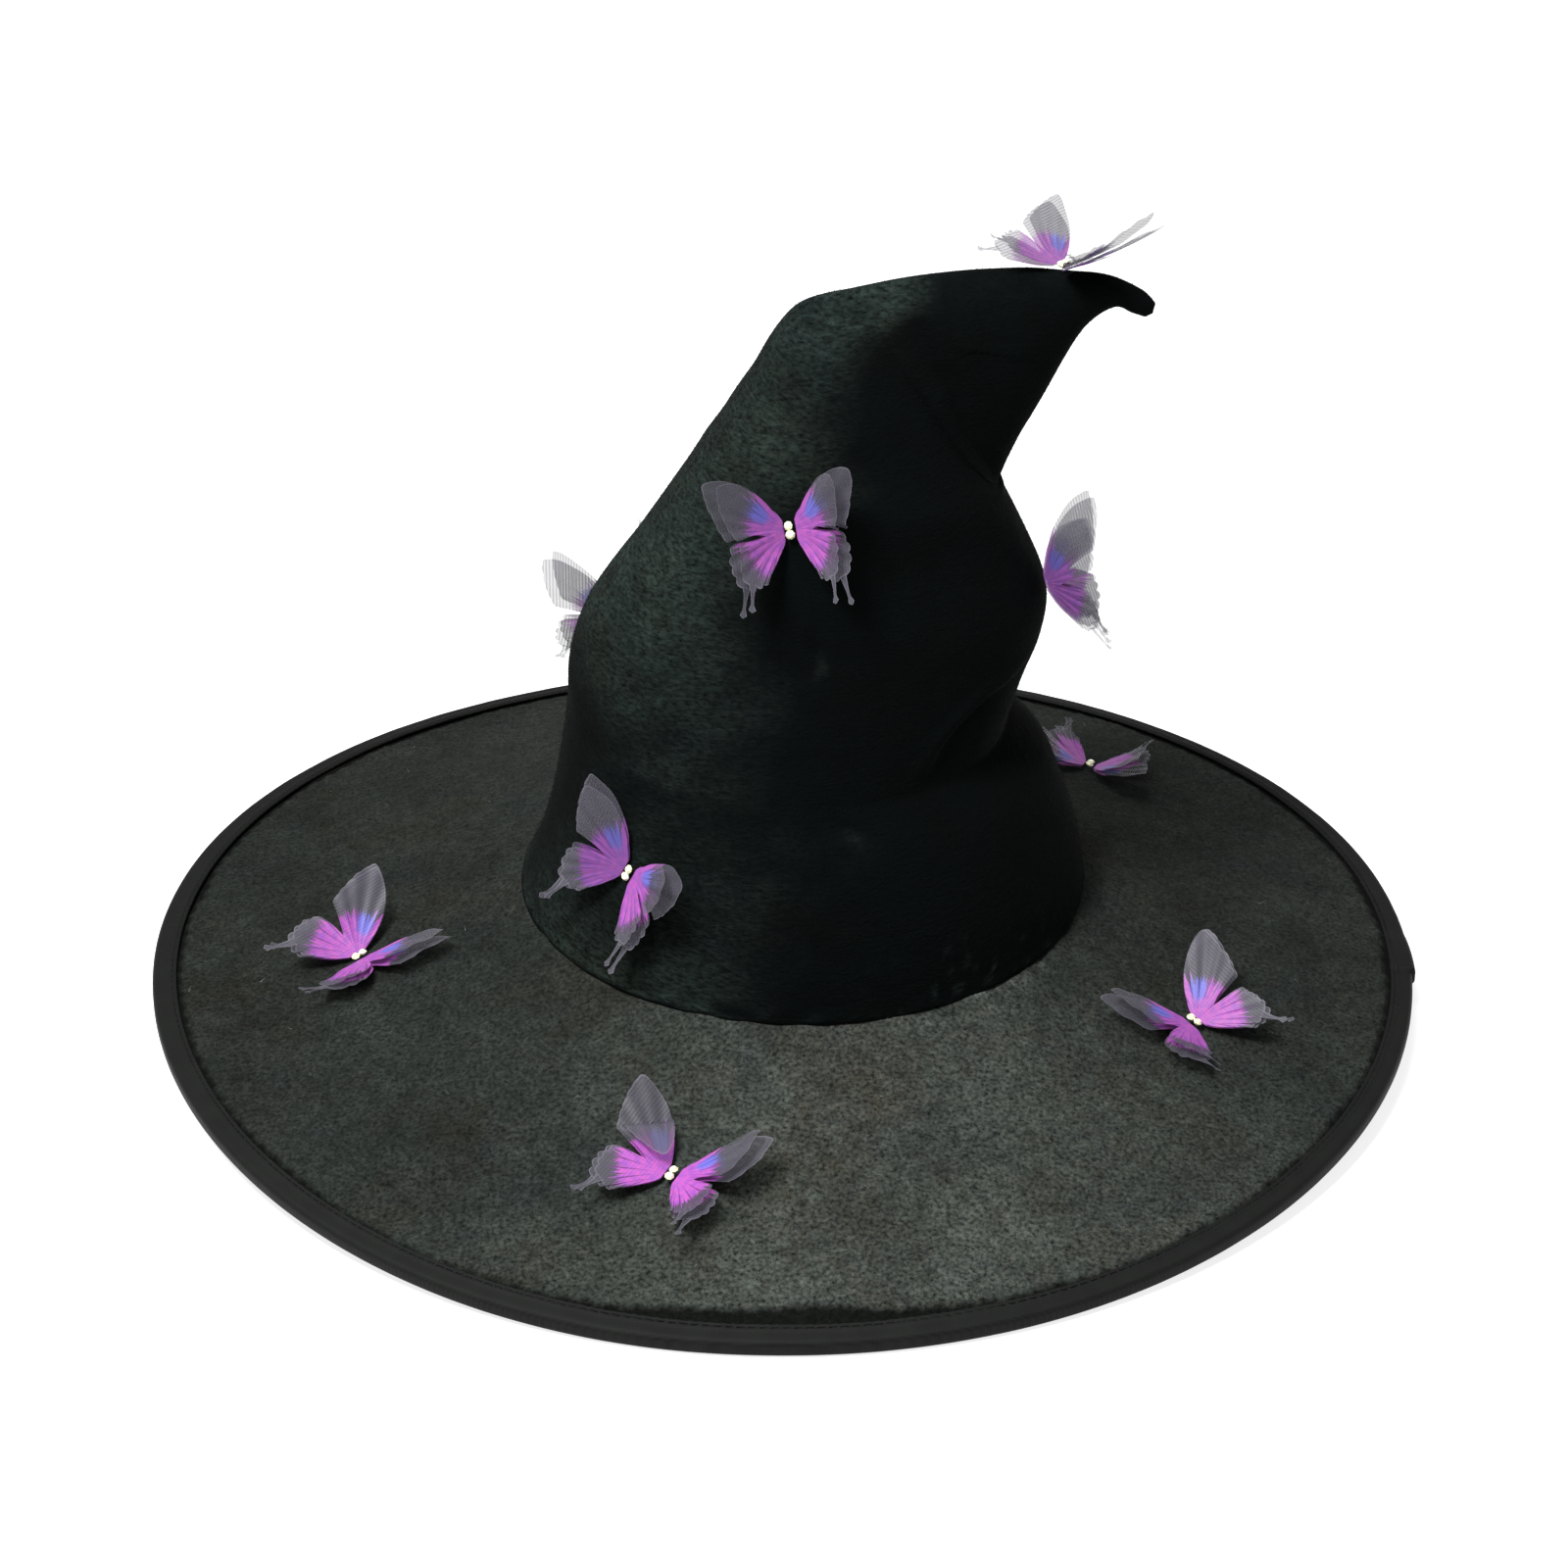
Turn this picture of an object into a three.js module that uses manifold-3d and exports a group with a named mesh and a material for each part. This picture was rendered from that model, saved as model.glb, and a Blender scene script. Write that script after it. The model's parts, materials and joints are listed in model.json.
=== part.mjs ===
// A witch's hat: a slouched crown with a soft tip that bends, a wired and bound brim, and nine
// two-layer organza butterflies whose wings flex at the body.
//
// Millimetres, +Z up. The origin is the middle of the brim, on the surface that the hat stands on.
// +X is the side that the crown slouches to, and -Y is the front.

import * as THREE from "three";
import { mergeVertices } from "three/addons/utils/BufferGeometryUtils.js";
import Module from "manifold-3d";

// ---- driving dimensions ----

const brimRadius = 210; // to the outside of the binding
const brimRise = 36; // from the brim's edge up to the head opening
const rightLift = 7; // how far the brim's edge lifts at the slouch side
const leftLift = 10; // and at the other side
const crownRadius = 93; // outside of the crown at its foot
const crownHeight = 214.5; // from the foot to the highest part of the ridge
const crownShift = 6.5; // the crown's foot stands this far to the slouch side of the brim's middle

const feltThickness = 1.2; // brim cover
const stiffenerThickness = 1.4;
const liningThickness = 0.4;
const crownFeltThickness = 1.4;
const interliningThickness = 1.2;
const sweatbandThickness = 0.8;
const sweatbandHeight = 28;
const tapeThickness = 0.6; // edge binding
const tapeWidth = 7.5; // how far each leg of the binding reaches in from the edge
const standWidth = 3.3; // of the binding's level underside, which the hat stands on
const lapThickness = 0.6; // extra thickness where the tape's end lies over its start
const lapLength = 24;
const wireRadius = 0.9;
const threadRadius = 0.25;
const threadInset = tapeWidth - 1.2; // from the brim's edge to the row of stitches
const clearance = 0.3; // between pieces that touch on the real hat
const crownClearance = 0.7; // between the crown's layers
const tuckClearance = 0.6; // between the bending tip and the crown round it

const wingSpan = 26; // from the butterfly's body to the tip of a forewing, across
const wingThickness = 0.3;
const stoneRadius = 1.35;
const stoneFace = 0.8; // radius of a stone's flat front
const stoneHeight = 1.5;

// ---- the crown's pattern ----

// Each row is a section across the crown: its far-side point, its slouch-side point (x and z from the
// middle of the foot) and its half depth, front to back. It is drawn for this radius and height.
const patternRadius = 93;
const patternHeight = 214.5;
const pattern = [
  { far: [-93, 0], near: [93, 0], depth: 93 },
  { far: [-87, 13], near: [91, 16], depth: 88 },
  { far: [-82.5, 28], near: [86, 32], depth: 82 },
  { far: [-79, 46], near: [79, 48], depth: 75 },
  { far: [-76, 66], near: [66, 60], depth: 68 }, // lower tuck
  { far: [-75, 82], near: [71, 77], depth: 62 },
  { far: [-70, 98], near: [76.5, 93], depth: 56 },
  { far: [-60, 114], near: [77.5, 108], depth: 51 },
  { far: [-46, 134], near: [70, 127], depth: 46 },
  { far: [-29, 161], near: [64.5, 138.5], depth: 41 },
  { far: [-17, 180], near: [63.5, 142], depth: 34 },
  { far: [-3, 201], near: [62, 143], depth: 27 },
  { far: [16, 208], near: [61.5, 143.5], depth: 19 }, // upper tuck, where the tip bends
  { far: [36, 212], near: [67, 157], depth: 16 },
  { far: [52, 214], near: [74, 171], depth: 13 },
  { far: [68, 214.5], near: [80.5, 185.5], depth: 10 },
  { far: [82, 213.5], near: [87.5, 197], depth: 7.5 },
  { far: [94, 212], near: [95.5, 202.5], depth: 5.5 },
  { far: [104, 207.5], near: [101, 200.5], depth: 4.5 },
  { far: [108.5, 203], near: [105, 199], depth: 3 }, // end of the nose
];
const lowerTuck = 4;
const upperTuck = 12;
const noseEnd = pattern.length - 1;

const brimStack = {
  liningBottom: -(stiffenerThickness / 2 + clearance + liningThickness),
  stiffenerTop: stiffenerThickness / 2,
  feltTop: stiffenerThickness / 2 + clearance + feltThickness,
};
const bindingTop = brimStack.feltTop + clearance + tapeThickness;
const bindingBottom = brimStack.liningBottom - clearance - tapeThickness;
const edgeLevel = -bindingBottom; // height of the brim's middle layer at its lowest edge
const crownFoot = edgeLevel + brimRise + brimStack.feltTop + clearance;

const interliningOuter = crownFeltThickness + crownClearance;
const interliningInner = interliningOuter + interliningThickness;
const bandOuter = interliningInner + crownClearance;
const bandInner = bandOuter + sweatbandThickness;
const openingRadius = crownRadius - interliningInner;
const layerEnd = tapeThickness + 2 * clearance + 2 * wireRadius + clearance; // brim layers stop here

// ---- surfaces ----

// How far the brim's edge lifts at an angle. It is level over a short arc at the front and the back.
function edgeLift(angle) {
  const levelArc = 0.12;
  const side = Math.cos(angle);
  const share = Math.max(0, Math.abs(side) - levelArc) / (1 - levelArc);
  return share * share * (side > 0 ? rightLift : leftLift);
}

const brimHollow = 1.2; // over 1, the brim is steeper at the crown than at its edge

// A point of the brim: distance from its middle, angle, and height over its middle layer.
function brimPoint(radius, angle, height) {
  const out = (radius - openingRadius) / (brimRadius - openingRadius);
  const inward = Math.max(0, 1 - out);
  const shift = crownShift * inward;
  const rise = brimRise * Math.pow(inward, brimHollow) + edgeLift(angle) * out * out;
  return new THREE.Vector3(
    shift + radius * Math.cos(angle),
    radius * Math.sin(angle),
    edgeLevel + rise + height,
  );
}

// Smooth curves through the pattern's rows, with a corner at each tuck.
function patternStretch(from, to) {
  const rows = pattern.slice(from, to + 1);
  const wide = crownRadius / patternRadius;
  const tall = crownHeight / patternHeight;
  const along = (name) =>
    new THREE.SplineCurve(
      rows.map((row) => new THREE.Vector2(row[name][0] * wide, row[name][1] * tall)),
    );
  const depth = new THREE.SplineCurve(rows.map((row) => new THREE.Vector2(row.depth * wide, 0)));
  return { from, to, far: along("far"), near: along("near"), depth };
}
const stretches = [
  patternStretch(0, lowerTuck),
  patternStretch(lowerTuck, upperTuck),
  patternStretch(upperTuck, noseEnd),
];

// The crown's section at a row number, whole or part: its middle, the unit vector across it, and its
// half width and half depth.
function crownSection(row) {
  const held = THREE.MathUtils.clamp(row, 0, noseEnd);
  const stretch = stretches.find((s) => held <= s.to);
  const share = (held - stretch.from) / (stretch.to - stretch.from);
  const far = stretch.far.getPoint(share);
  const near = stretch.near.getPoint(share);
  const across = near.clone().sub(far);
  const middle = near.clone().add(far).multiplyScalar(0.5);
  return {
    middle: new THREE.Vector3(crownShift + middle.x, 0, crownFoot + middle.y),
    across: new THREE.Vector3(across.x, 0, across.y).normalize(),
    halfWidth: across.length() / 2,
    halfDepth: stretch.depth.getPoint(share).x,
  };
}

// A point of the crown, a distance in from its outer face. A row under 0 is that many millimetres
// straight below the foot.
function crownPoint(row, angle, inset) {
  const { middle, across, halfWidth, halfDepth } = crownSection(row);
  const point = middle.clone().addScaledVector(across, (halfWidth - inset) * Math.cos(angle));
  point.y += (halfDepth - inset) * Math.sin(angle);
  point.z += Math.min(0, row);
  return point;
}

// The bending tip. It fits inside the upper tuck, and below the tuck it ends in a skirt that is part of
// an ellipsoid round the bend's axis, so that it slides inside the crown without touching it.
const bend = crownSection(upperTuck);
const tipDirection = new THREE.Vector3(-bend.across.z, 0, bend.across.x);
const tuckInset = crownFeltThickness + tuckClearance;
const tuckFade = 2; // rows over which the tip comes out to the pattern's own size

// A point of the tip: rows past the upper tuck, or degrees round the skirt if negative.
function tipPoint(past, angle, inset) {
  const tucked = tuckInset * Math.max(0, 1 - Math.max(0, past) / tuckFade);
  if (past >= 0) return crownPoint(upperTuck + past, angle, inset + tucked);
  const turn = THREE.MathUtils.degToRad(past);
  const width = bend.halfWidth - tuckInset - inset;
  const depth = bend.halfDepth - tuckInset - inset;
  const point = bend.middle.clone().addScaledVector(tipDirection, width * Math.sin(turn));
  point.addScaledVector(bend.across, width * Math.cos(turn) * Math.cos(angle));
  point.y += depth * Math.cos(turn) * Math.sin(angle);
  return point;
}

// ---- builders ----

const hat = new THREE.Group();

function material(color, roughness, metalness = 0) {
  return new THREE.MeshStandardMaterial({ color, roughness, metalness });
}

function addMesh(parent, name, geometry, meshMaterial) {
  const mesh = new THREE.Mesh(geometry, meshMaterial);
  mesh.name = name;
  parent.add(mesh);
  return mesh;
}

function evenAngles(count) {
  return Array.from({ length: count }, (_, i) => (i / count) * 2 * Math.PI);
}

// Turns a profile round a lathe, then moves each of its points onto a curved surface.
function wrappedLathe(profile, angles, place) {
  const geometry = new THREE.LatheGeometry(
    profile.map(([x, y]) => new THREE.Vector2(x, y)),
    angles.length,
  );
  const position = geometry.attributes.position;
  for (let i = 0; i < position.count; i++) {
    const spot = profile[i % profile.length];
    const step = Math.floor(i / profile.length) % angles.length;
    const point = place(spot[0], spot[1], angles[step], spot);
    position.setXYZ(i, point.x, point.y, point.z);
  }
  geometry.computeVertexNormals();
  return geometry;
}

// A closed profile of a wall between two insets, through a list of rows.
function wallProfile(rows, outer, inner) {
  const outside = rows.map((row) => [outer, row]);
  const inside = rows.map((row) => [inner, row]).reverse();
  return [...outside, ...inside, outside[0]];
}

// A closed profile of a layer between two heights, through a list of radii.
function layerProfile(radii, low, high) {
  const under = radii.map((radius) => [radius, low]);
  const over = radii.map((radius) => [radius, high]).reverse();
  return [...under, ...over, under[0]];
}

function rowsBetween(from, to, steps) {
  return Array.from({ length: steps + 1 }, (_, i) => from + ((to - from) * i) / steps);
}

function solidOf(geometry) {
  const bare = geometry.clone();
  bare.deleteAttribute("normal");
  bare.deleteAttribute("uv");
  const merged = mergeVertices(bare, 1e-4);
  return new wasm.Manifold(
    new wasm.Mesh({
      numProp: 3,
      vertProperties: merged.attributes.position.array,
      triVerts: new Uint32Array(merged.index.array),
    }),
  );
}

function geometryOf(solid) {
  const mesh = solid.getMesh();
  const geometry = new THREE.BufferGeometry();
  geometry.setAttribute("position", new THREE.BufferAttribute(mesh.vertProperties, 3));
  geometry.setIndex(new THREE.BufferAttribute(mesh.triVerts, 1));
  geometry.computeVertexNormals();
  return geometry;
}

const wasm = await Module();
wasm.setup();

// ---- brim ----

const brimSegments = 72;
const brimAngles = evenAngles(brimSegments);
const lapStep = 0.5 / brimRadius; // the last edge angle is this far short of a full turn
const lapStart = -brimAngles[1]; // the lap's square step: one segment in front of the slouch side
const edgeAngles = [...brimAngles, 2 * Math.PI - lapStep].map((angle) => angle + lapStart);
const crownAngles = evenAngles(32);
const tipAngles = evenAngles(24);
const brimReach = brimRadius - openingRadius;
const brimRadii = [
  openingRadius + clearance,
  openingRadius + brimReach / 3,
  openingRadius + (brimReach * 2) / 3,
  brimRadius - tapeWidth,
  brimRadius - layerEnd,
];

function brimLayer(name, low, high, layerMaterial) {
  const place = (radius, height, angle) => brimPoint(radius, angle, height);
  const profile = layerProfile(brimRadii, low, high);
  addMesh(hat, name, wrappedLathe(profile, brimAngles, place), layerMaterial);
}

function buildBrim() {
  const { liningBottom, stiffenerTop, feltTop } = brimStack;
  const liningTop = liningBottom + liningThickness;
  brimLayer("brim_top_felt", stiffenerTop + clearance, feltTop, material(0x25282a, 0.95));
  brimLayer("brim_stiffener", -stiffenerTop, stiffenerTop, material(0x3a3a3a, 0.9));
  brimLayer("brim_under_lining", liningBottom, liningTop, material(0x161616, 0.85));
}

// How much thicker the binding is at an angle, where the tape's end lies over its start. The lap ends
// in a square step at lapStart.
function lapAt(angle) {
  const pastStep = (angle - lapStart) / (lapLength / brimRadius);
  return pastStep < 1 ? lapThickness * (1 - pastStep) : 0;
}

// A thin ring that follows the brim's edge, with a regular section.
function edgeRing(name, inset, height, radius, sides, lapShare, ringMaterial) {
  const section = rowsBetween(0, 2 * Math.PI, sides).map((turn) => [
    brimRadius - inset + radius * Math.cos(turn),
    height + radius * Math.sin(turn),
  ]);
  section[sides] = section[0];
  const place = (x, y, angle) => brimPoint(x, angle, y + lapAt(angle) * lapShare);
  addMesh(hat, name, wrappedLathe(section, edgeAngles, place), ringMaterial);
}

// The tape is folded over the edge. Its underside has a level strip that the hat stands on.
function buildBinding() {
  const round = 1.6; // size of the rolled corners
  const standEnd = round * 0.75;
  const insideTop = bindingTop - tapeThickness;
  const insideBottom = bindingBottom + tapeThickness;
  // Each point: in from the edge, height, the share of the lap that pushes it out and up, and whether
  // it keeps the level of the edge.
  const section = [
    [-tapeWidth, bindingBottom, 0, 0],
    [-standEnd - standWidth, bindingBottom, 0, 0, true],
    [-standEnd, bindingBottom, 0, 0, true],
    [-round * 0.3, bindingBottom + round * 0.35, 0.5, 0],
    [0, bindingBottom + round, 1, 0],
    [0, bindingTop - round, 1, 0.5],
    [-round * 0.3, bindingTop - round * 0.35, 1, 1],
    [-round, bindingTop, 0, 1],
    [-tapeWidth, bindingTop, 0, 1],
    [-tapeWidth, insideTop, 0, 0],
    [-round, insideTop, 0, 0],
    [-tapeThickness, insideTop - round * 0.4, 0, 0],
    [-tapeThickness, insideBottom + round * 0.4, 0, 0],
    [-round, insideBottom, 0, 0],
    [-tapeWidth, insideBottom, 0, 0],
  ];
  const place = (x, y, angle, [, , out, up, level]) => {
    const point = brimPoint(brimRadius + x + lapAt(angle) * out, angle, y + lapAt(angle) * up);
    if (level) point.z = brimPoint(brimRadius, angle, y).z;
    return point;
  };
  const geometry = wrappedLathe([...section, section[0]], edgeAngles, place);
  addMesh(hat, "edge_binding", geometry, material(0x303132, 0.8));
}

function buildEdge() {
  const wireInset = tapeThickness + clearance + wireRadius;
  const wireHeight = (bindingTop + bindingBottom) / 2;
  const threadHeight = bindingTop + clearance + threadRadius;
  edgeRing("edge_wire", wireInset, wireHeight, wireRadius, 6, 0, material(0x8a8d90, 0.4, 0.8));
  edgeRing("binding_thread", threadInset, threadHeight, threadRadius, 4, 1, material(0x101010, 0.6));
}

// ---- crown ----

function buildCrown() {
  const inFoot = (inset, row, angle) => crownPoint(row, angle, inset);
  const felt = material(0x0c0c0d, 0.95);
  const shellRows = [
    ...rowsBetween(0, lowerTuck, 4),
    ...rowsBetween(lowerTuck + 1, upperTuck, 7),
  ];
  const shell = wallProfile(shellRows, 0, crownFeltThickness);
  addMesh(hat, "crown_shell", wrappedLathe(shell, crownAngles, inFoot), felt);

  const interliningTop = upperTuck - 3;
  const interliningRows = rowsBetween(0, interliningTop, interliningTop);
  const interlining = wallProfile(interliningRows, interliningOuter, interliningInner);
  const interliningMaterial = material(0x4a4a4c, 0.9);
  addMesh(hat, "crown_interlining", wrappedLathe(interlining, crownAngles, inFoot), interliningMaterial);

  const bandBelow = brimStack.feltTop + clearance - brimStack.liningBottom;
  const rowHeight = (crownHeight * pattern[1].far[1]) / patternHeight;
  const bandTop = (sweatbandHeight - bandBelow) / rowHeight;
  const band = wallProfile([-bandBelow, 0, 1, bandTop], bandOuter, bandInner);
  addMesh(hat, "sweatband", wrappedLathe(band, crownAngles, inFoot), material(0x1b1b1e, 0.7));
}

// The tip shell and its interlining. Their profiles run from the nose down the outside, round the
// bottom and back up the inside, and both ends close on the axis.
function tipWall(name, bottomRows, topRow, outer, inner, wallMaterial) {
  const rows = [...bottomRows, ...rowsBetween(1, topRow, 6)];
  const profile = wallProfile(rows, outer, inner);
  const place = (inset, row, angle) => tipPoint(row, angle, inset);
  return addMesh(hat, name, wrappedLathe(profile, tipAngles, place), wallMaterial);
}

function buildTip() {
  const felt = material(0x0c0c0d, 0.95);
  const skirt = [-26, -13, 0];
  const last = noseEnd - upperTuck;
  const place = (inset, row, angle) =>
    inset < 0 ? crownSection(upperTuck + row).middle : tipPoint(row, angle, inset);
  const rows = [...skirt, ...rowsBetween(0.5, last, 8)];
  const innerRows = [...skirt, ...rowsBetween(0.5, last - 1.2, 6)].reverse();
  const profile = [
    [-1, last - 1.2],
    ...innerRows.map((row) => [crownFeltThickness, row]),
    ...rows.map((row) => [0, row]),
    [-1, last],
  ];
  addMesh(hat, "crown_tip_shell", wrappedLathe(profile, tipAngles, place), felt);

  const outer = interliningOuter;
  const inner = interliningInner;
  tipWall("tip_interlining", [0.4], last - 3, outer, inner, material(0x4a4a4c, 0.9));
}

// ---- butterflies ----

// Each sits on the brim (share of the way from the opening to the edge, and angle) or on the crown
// (pattern row and angle). Its heading is turned anticlockwise, seen from outside, from +X on the brim
// and from straight up the crown. left and right are how far each wing is lifted. Angles in degrees.
const butterflies = [
  { name: "crown_front", crown: [8.6, -112], heading: 35, left: 50, right: 25 },
  { name: "crown_low_left", crown: [2.35, -132], heading: -28, left: 14, right: 22 },
  { name: "crown_right", crown: [7.2, -10], heading: -8, left: 58, right: 38 },
  { name: "crown_back_left", crown: [4.5, 140], heading: 2, left: 20, right: 42 },
  { name: "tip", crown: [15.8, 180], heading: 50, left: 14, right: 42 },
  { name: "brim_left", brim: [0.46, 192], heading: 34, left: 32, right: 8 },
  { name: "brim_front", brim: [0.515, -104], heading: 58, left: 16, right: 16 },
  { name: "brim_right", brim: [0.455, -28], heading: 134, left: 9, right: 26 },
  { name: "brim_back", brim: [0.45, 43], heading: -108, left: 22, right: 20 },
];
const layerSpread = 6; // degrees between a butterfly's two layers
const topLayerSize = 0.94; // of the under layer's
const spineWidth = 1.8;
const spineLength = 8;
const stoneSink = 0.1; // into the spine
const spineHeight = 1.4;
const hingeOut = 2; // from the body's middle to each wing's hinge
const rootGap = 0.2; // from the hinge to the wing's root
const standOff = 0.5; // from the felt to the body

// One side's outline, forewing and hindwing, with its root on the hinge. side is 1 or -1.
function wingShape(side, size) {
  const drawnSpan = 26; // the outline below is drawn for this span
  const unit = (size * wingSpan) / drawnSpan;
  const at = (x, y) => [side * (rootGap + x * unit), y * unit];
  const shape = new THREE.Shape();
  shape.moveTo(...at(0, 3.2));
  shape.bezierCurveTo(...at(6, 12), ...at(15, 21), ...at(24, 22)); // leading edge
  shape.quadraticCurveTo(...at(23.5, 11), ...at(18, 3)); // outer edge
  shape.quadraticCurveTo(...at(12, 1), ...at(7.5, -1.5)); // notch
  shape.quadraticCurveTo(...at(16, -2), ...at(18.5, -8)); // hindwing
  shape.lineTo(...at(17, -13));
  shape.lineTo(...at(16, -17.5));
  shape.lineTo(...at(18, -24.5)); // tail
  shape.lineTo(...at(15.5, -25.5));
  shape.lineTo(...at(13.5, -17.5));
  shape.lineTo(...at(9, -15.5));
  shape.quadraticCurveTo(...at(2.5, -10), ...at(0, -3.2));
  return shape;
}

function wingGeometry(side, size, height) {
  const extrusion = { depth: wingThickness, bevelEnabled: false, curveSegments: 3 };
  const geometry = new THREE.ExtrudeGeometry(wingShape(side, size), extrusion);
  geometry.translate(0, 0, height - wingThickness / 2);
  return geometry;
}

// Two stones on the narrow spine that is glued to the felt.
function stonesGeometry() {
  const spine = new THREE.BoxGeometry(spineWidth, spineLength, spineHeight);
  const stonesApart = 2 * stoneRadius + clearance;
  let body = solidOf(spine.translate(0, 0, spineHeight / 2));
  for (const end of [-0.5, 0.5]) {
    const stone = new THREE.CylinderGeometry(stoneFace, stoneRadius, stoneHeight, 6);
    stone.rotateX(Math.PI / 2);
    stone.translate(0, end * stonesApart, spineHeight + stoneHeight / 2 - stoneSink);
    body = body.add(solidOf(stone));
  }
  return geometryOf(body);
}

// Where a butterfly sits: its point, the direction that heading 0 means, and the outward normal.
function seat({ brim, crown }) {
  const surface = brim
    ? (share, angle) => brimPoint(openingRadius + brimReach * share, angle, brimStack.feltTop)
    : (row, angle) => crownPoint(row, angle, 0);
  const [along, degrees] = brim ?? crown;
  const angle = THREE.MathUtils.degToRad(degrees);
  const step = 0.001;
  const point = surface(along, angle);
  const alongWay = surface(along + step, angle).sub(surface(along - step, angle));
  const round = surface(along, angle + step).sub(surface(along, angle - step));
  const normal = brim ? alongWay.clone().cross(round) : round.cross(alongWay);
  normal.normalize();
  const ahead = brim ? new THREE.Vector3(1, 0, 0) : alongWay;
  ahead.addScaledVector(normal, -ahead.dot(normal)).normalize();
  return { point, ahead, normal };
}

function buildButterfly(butterfly) {
  const { point, ahead, normal } = seat(butterfly);
  const forward = ahead.applyAxisAngle(normal, THREE.MathUtils.degToRad(butterfly.heading));
  const right = forward.clone().cross(normal);
  const group = new THREE.Group();
  group.quaternion.setFromRotationMatrix(new THREE.Matrix4().makeBasis(right, forward, normal));
  group.position.copy(point).addScaledVector(normal, standOff);
  hat.add(group);

  const name = `butterfly_${butterfly.name}`;
  addMesh(group, `${name}_stones`, stonesGeometry(), material(0xe9efd8, 0.15));
  for (const [sideName, side] of [["left", -1], ["right", 1]]) {
    const hinge = new THREE.Group();
    hinge.name = `${name}_${sideName}_hinge`;
    hinge.position.set(side * hingeOut, 0, spineHeight);
    hinge.rotation.y = -side * THREE.MathUtils.degToRad(butterfly[sideName]);
    group.add(hinge);
    const organza = material(0xa85ac0, 0.6);
    const under = wingGeometry(side, 1, -wingThickness);
    addMesh(hinge, `${name}_${sideName}_wing_under`, under, organza);
    const top = wingGeometry(side, topLayerSize, wingThickness);
    top.rotateY(-side * THREE.MathUtils.degToRad(layerSpread));
    addMesh(hinge, `${name}_${sideName}_wing_top`, top, organza.clone());
  }
}

buildBrim();
buildBinding();
buildEdge();
buildCrown();
buildTip();
butterflies.forEach(buildButterfly);

export default hat;
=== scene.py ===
"""A witch's hat of flocked velvet with a wired, bound brim and nine organza butterflies.

Every length is in metres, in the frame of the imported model: +Z up, +X to the side that the crown
slouches to, -Y to the front, and the origin on the surface that the hat stands on.
"""
import json
import math
import random

import bpy
from bpy.props import FloatProperty, FloatVectorProperty, IntProperty, PointerProperty
from mathutils import Matrix, Vector, noise


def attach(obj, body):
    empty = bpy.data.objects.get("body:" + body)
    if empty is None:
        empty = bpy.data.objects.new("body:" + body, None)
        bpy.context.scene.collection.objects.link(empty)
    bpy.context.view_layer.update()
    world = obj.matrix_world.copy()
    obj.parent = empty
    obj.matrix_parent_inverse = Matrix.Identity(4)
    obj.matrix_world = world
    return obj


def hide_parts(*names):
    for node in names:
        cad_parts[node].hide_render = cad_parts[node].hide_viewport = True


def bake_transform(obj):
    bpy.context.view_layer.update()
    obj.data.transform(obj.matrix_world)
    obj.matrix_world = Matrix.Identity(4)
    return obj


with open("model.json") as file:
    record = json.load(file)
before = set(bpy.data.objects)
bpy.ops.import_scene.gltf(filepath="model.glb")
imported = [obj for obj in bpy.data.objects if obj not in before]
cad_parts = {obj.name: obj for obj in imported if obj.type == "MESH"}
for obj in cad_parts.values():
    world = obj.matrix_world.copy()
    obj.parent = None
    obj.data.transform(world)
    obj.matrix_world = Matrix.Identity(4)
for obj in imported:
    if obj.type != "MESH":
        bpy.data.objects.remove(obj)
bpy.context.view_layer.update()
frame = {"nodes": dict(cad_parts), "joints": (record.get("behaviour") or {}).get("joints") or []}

bl_info = {
    "name": "Witch hat with butterflies",
    "version": (1, 0, 0),
    "blender": (4, 5, 0),
    "location": "3D View > Sidebar > Witch hat",
    "description": "Builds a slouched velvet witch hat with a bound brim and organza butterflies",
    "category": "Add Mesh",
}

MM = 0.001


def linear(code):
    """An sRGB hex colour, such as "2b2d2c", as linear red, green, blue and alpha."""
    channels = [int(code[i:i + 2], 16) / 255 for i in (0, 2, 4)]
    return tuple(c / 12.92 if c <= 0.04045 else ((c + 0.055) / 1.055) ** 2.4 for c in channels) + (1.0,)


def colour_property(name, description, code):
    return FloatVectorProperty(
        name=name, description=description, default=linear(code), size=4, min=0, max=1, subtype="COLOR",
    )


def length_property(name, description, millimetres):
    return FloatProperty(
        name=name, description=description, default=millimetres * MM, min=0, unit="LENGTH", precision=5,
    )


class HatSizes(bpy.types.PropertyGroup):
    brim_radius: length_property("Brim radius", "To the outside of the binding", 210)
    brim_rise: length_property("Brim rise", "From the brim's edge up to the head opening", 36)
    right_lift: length_property("Right lift", "How far the brim's edge lifts at the slouch side", 7)
    left_lift: length_property("Left lift", "How far the brim's edge lifts at the other side", 10)
    crown_radius: length_property("Crown radius", "Outside of the crown at its foot", 93)
    crown_height: length_property("Crown height", "From the foot to the top of the ridge", 214.5)
    crown_shift: length_property("Crown shift", "From the brim's middle to the crown's", 6.5)
    tape_width: length_property("Tape width", "How far each leg of the binding reaches in", 7.5)
    stitch_pitch: length_property("Stitch pitch", "From one stitch of the binding to the next", 3.4)
    pile_length: length_property("Pile length", "Of the velvet's longest fibres", 1.1)


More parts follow.
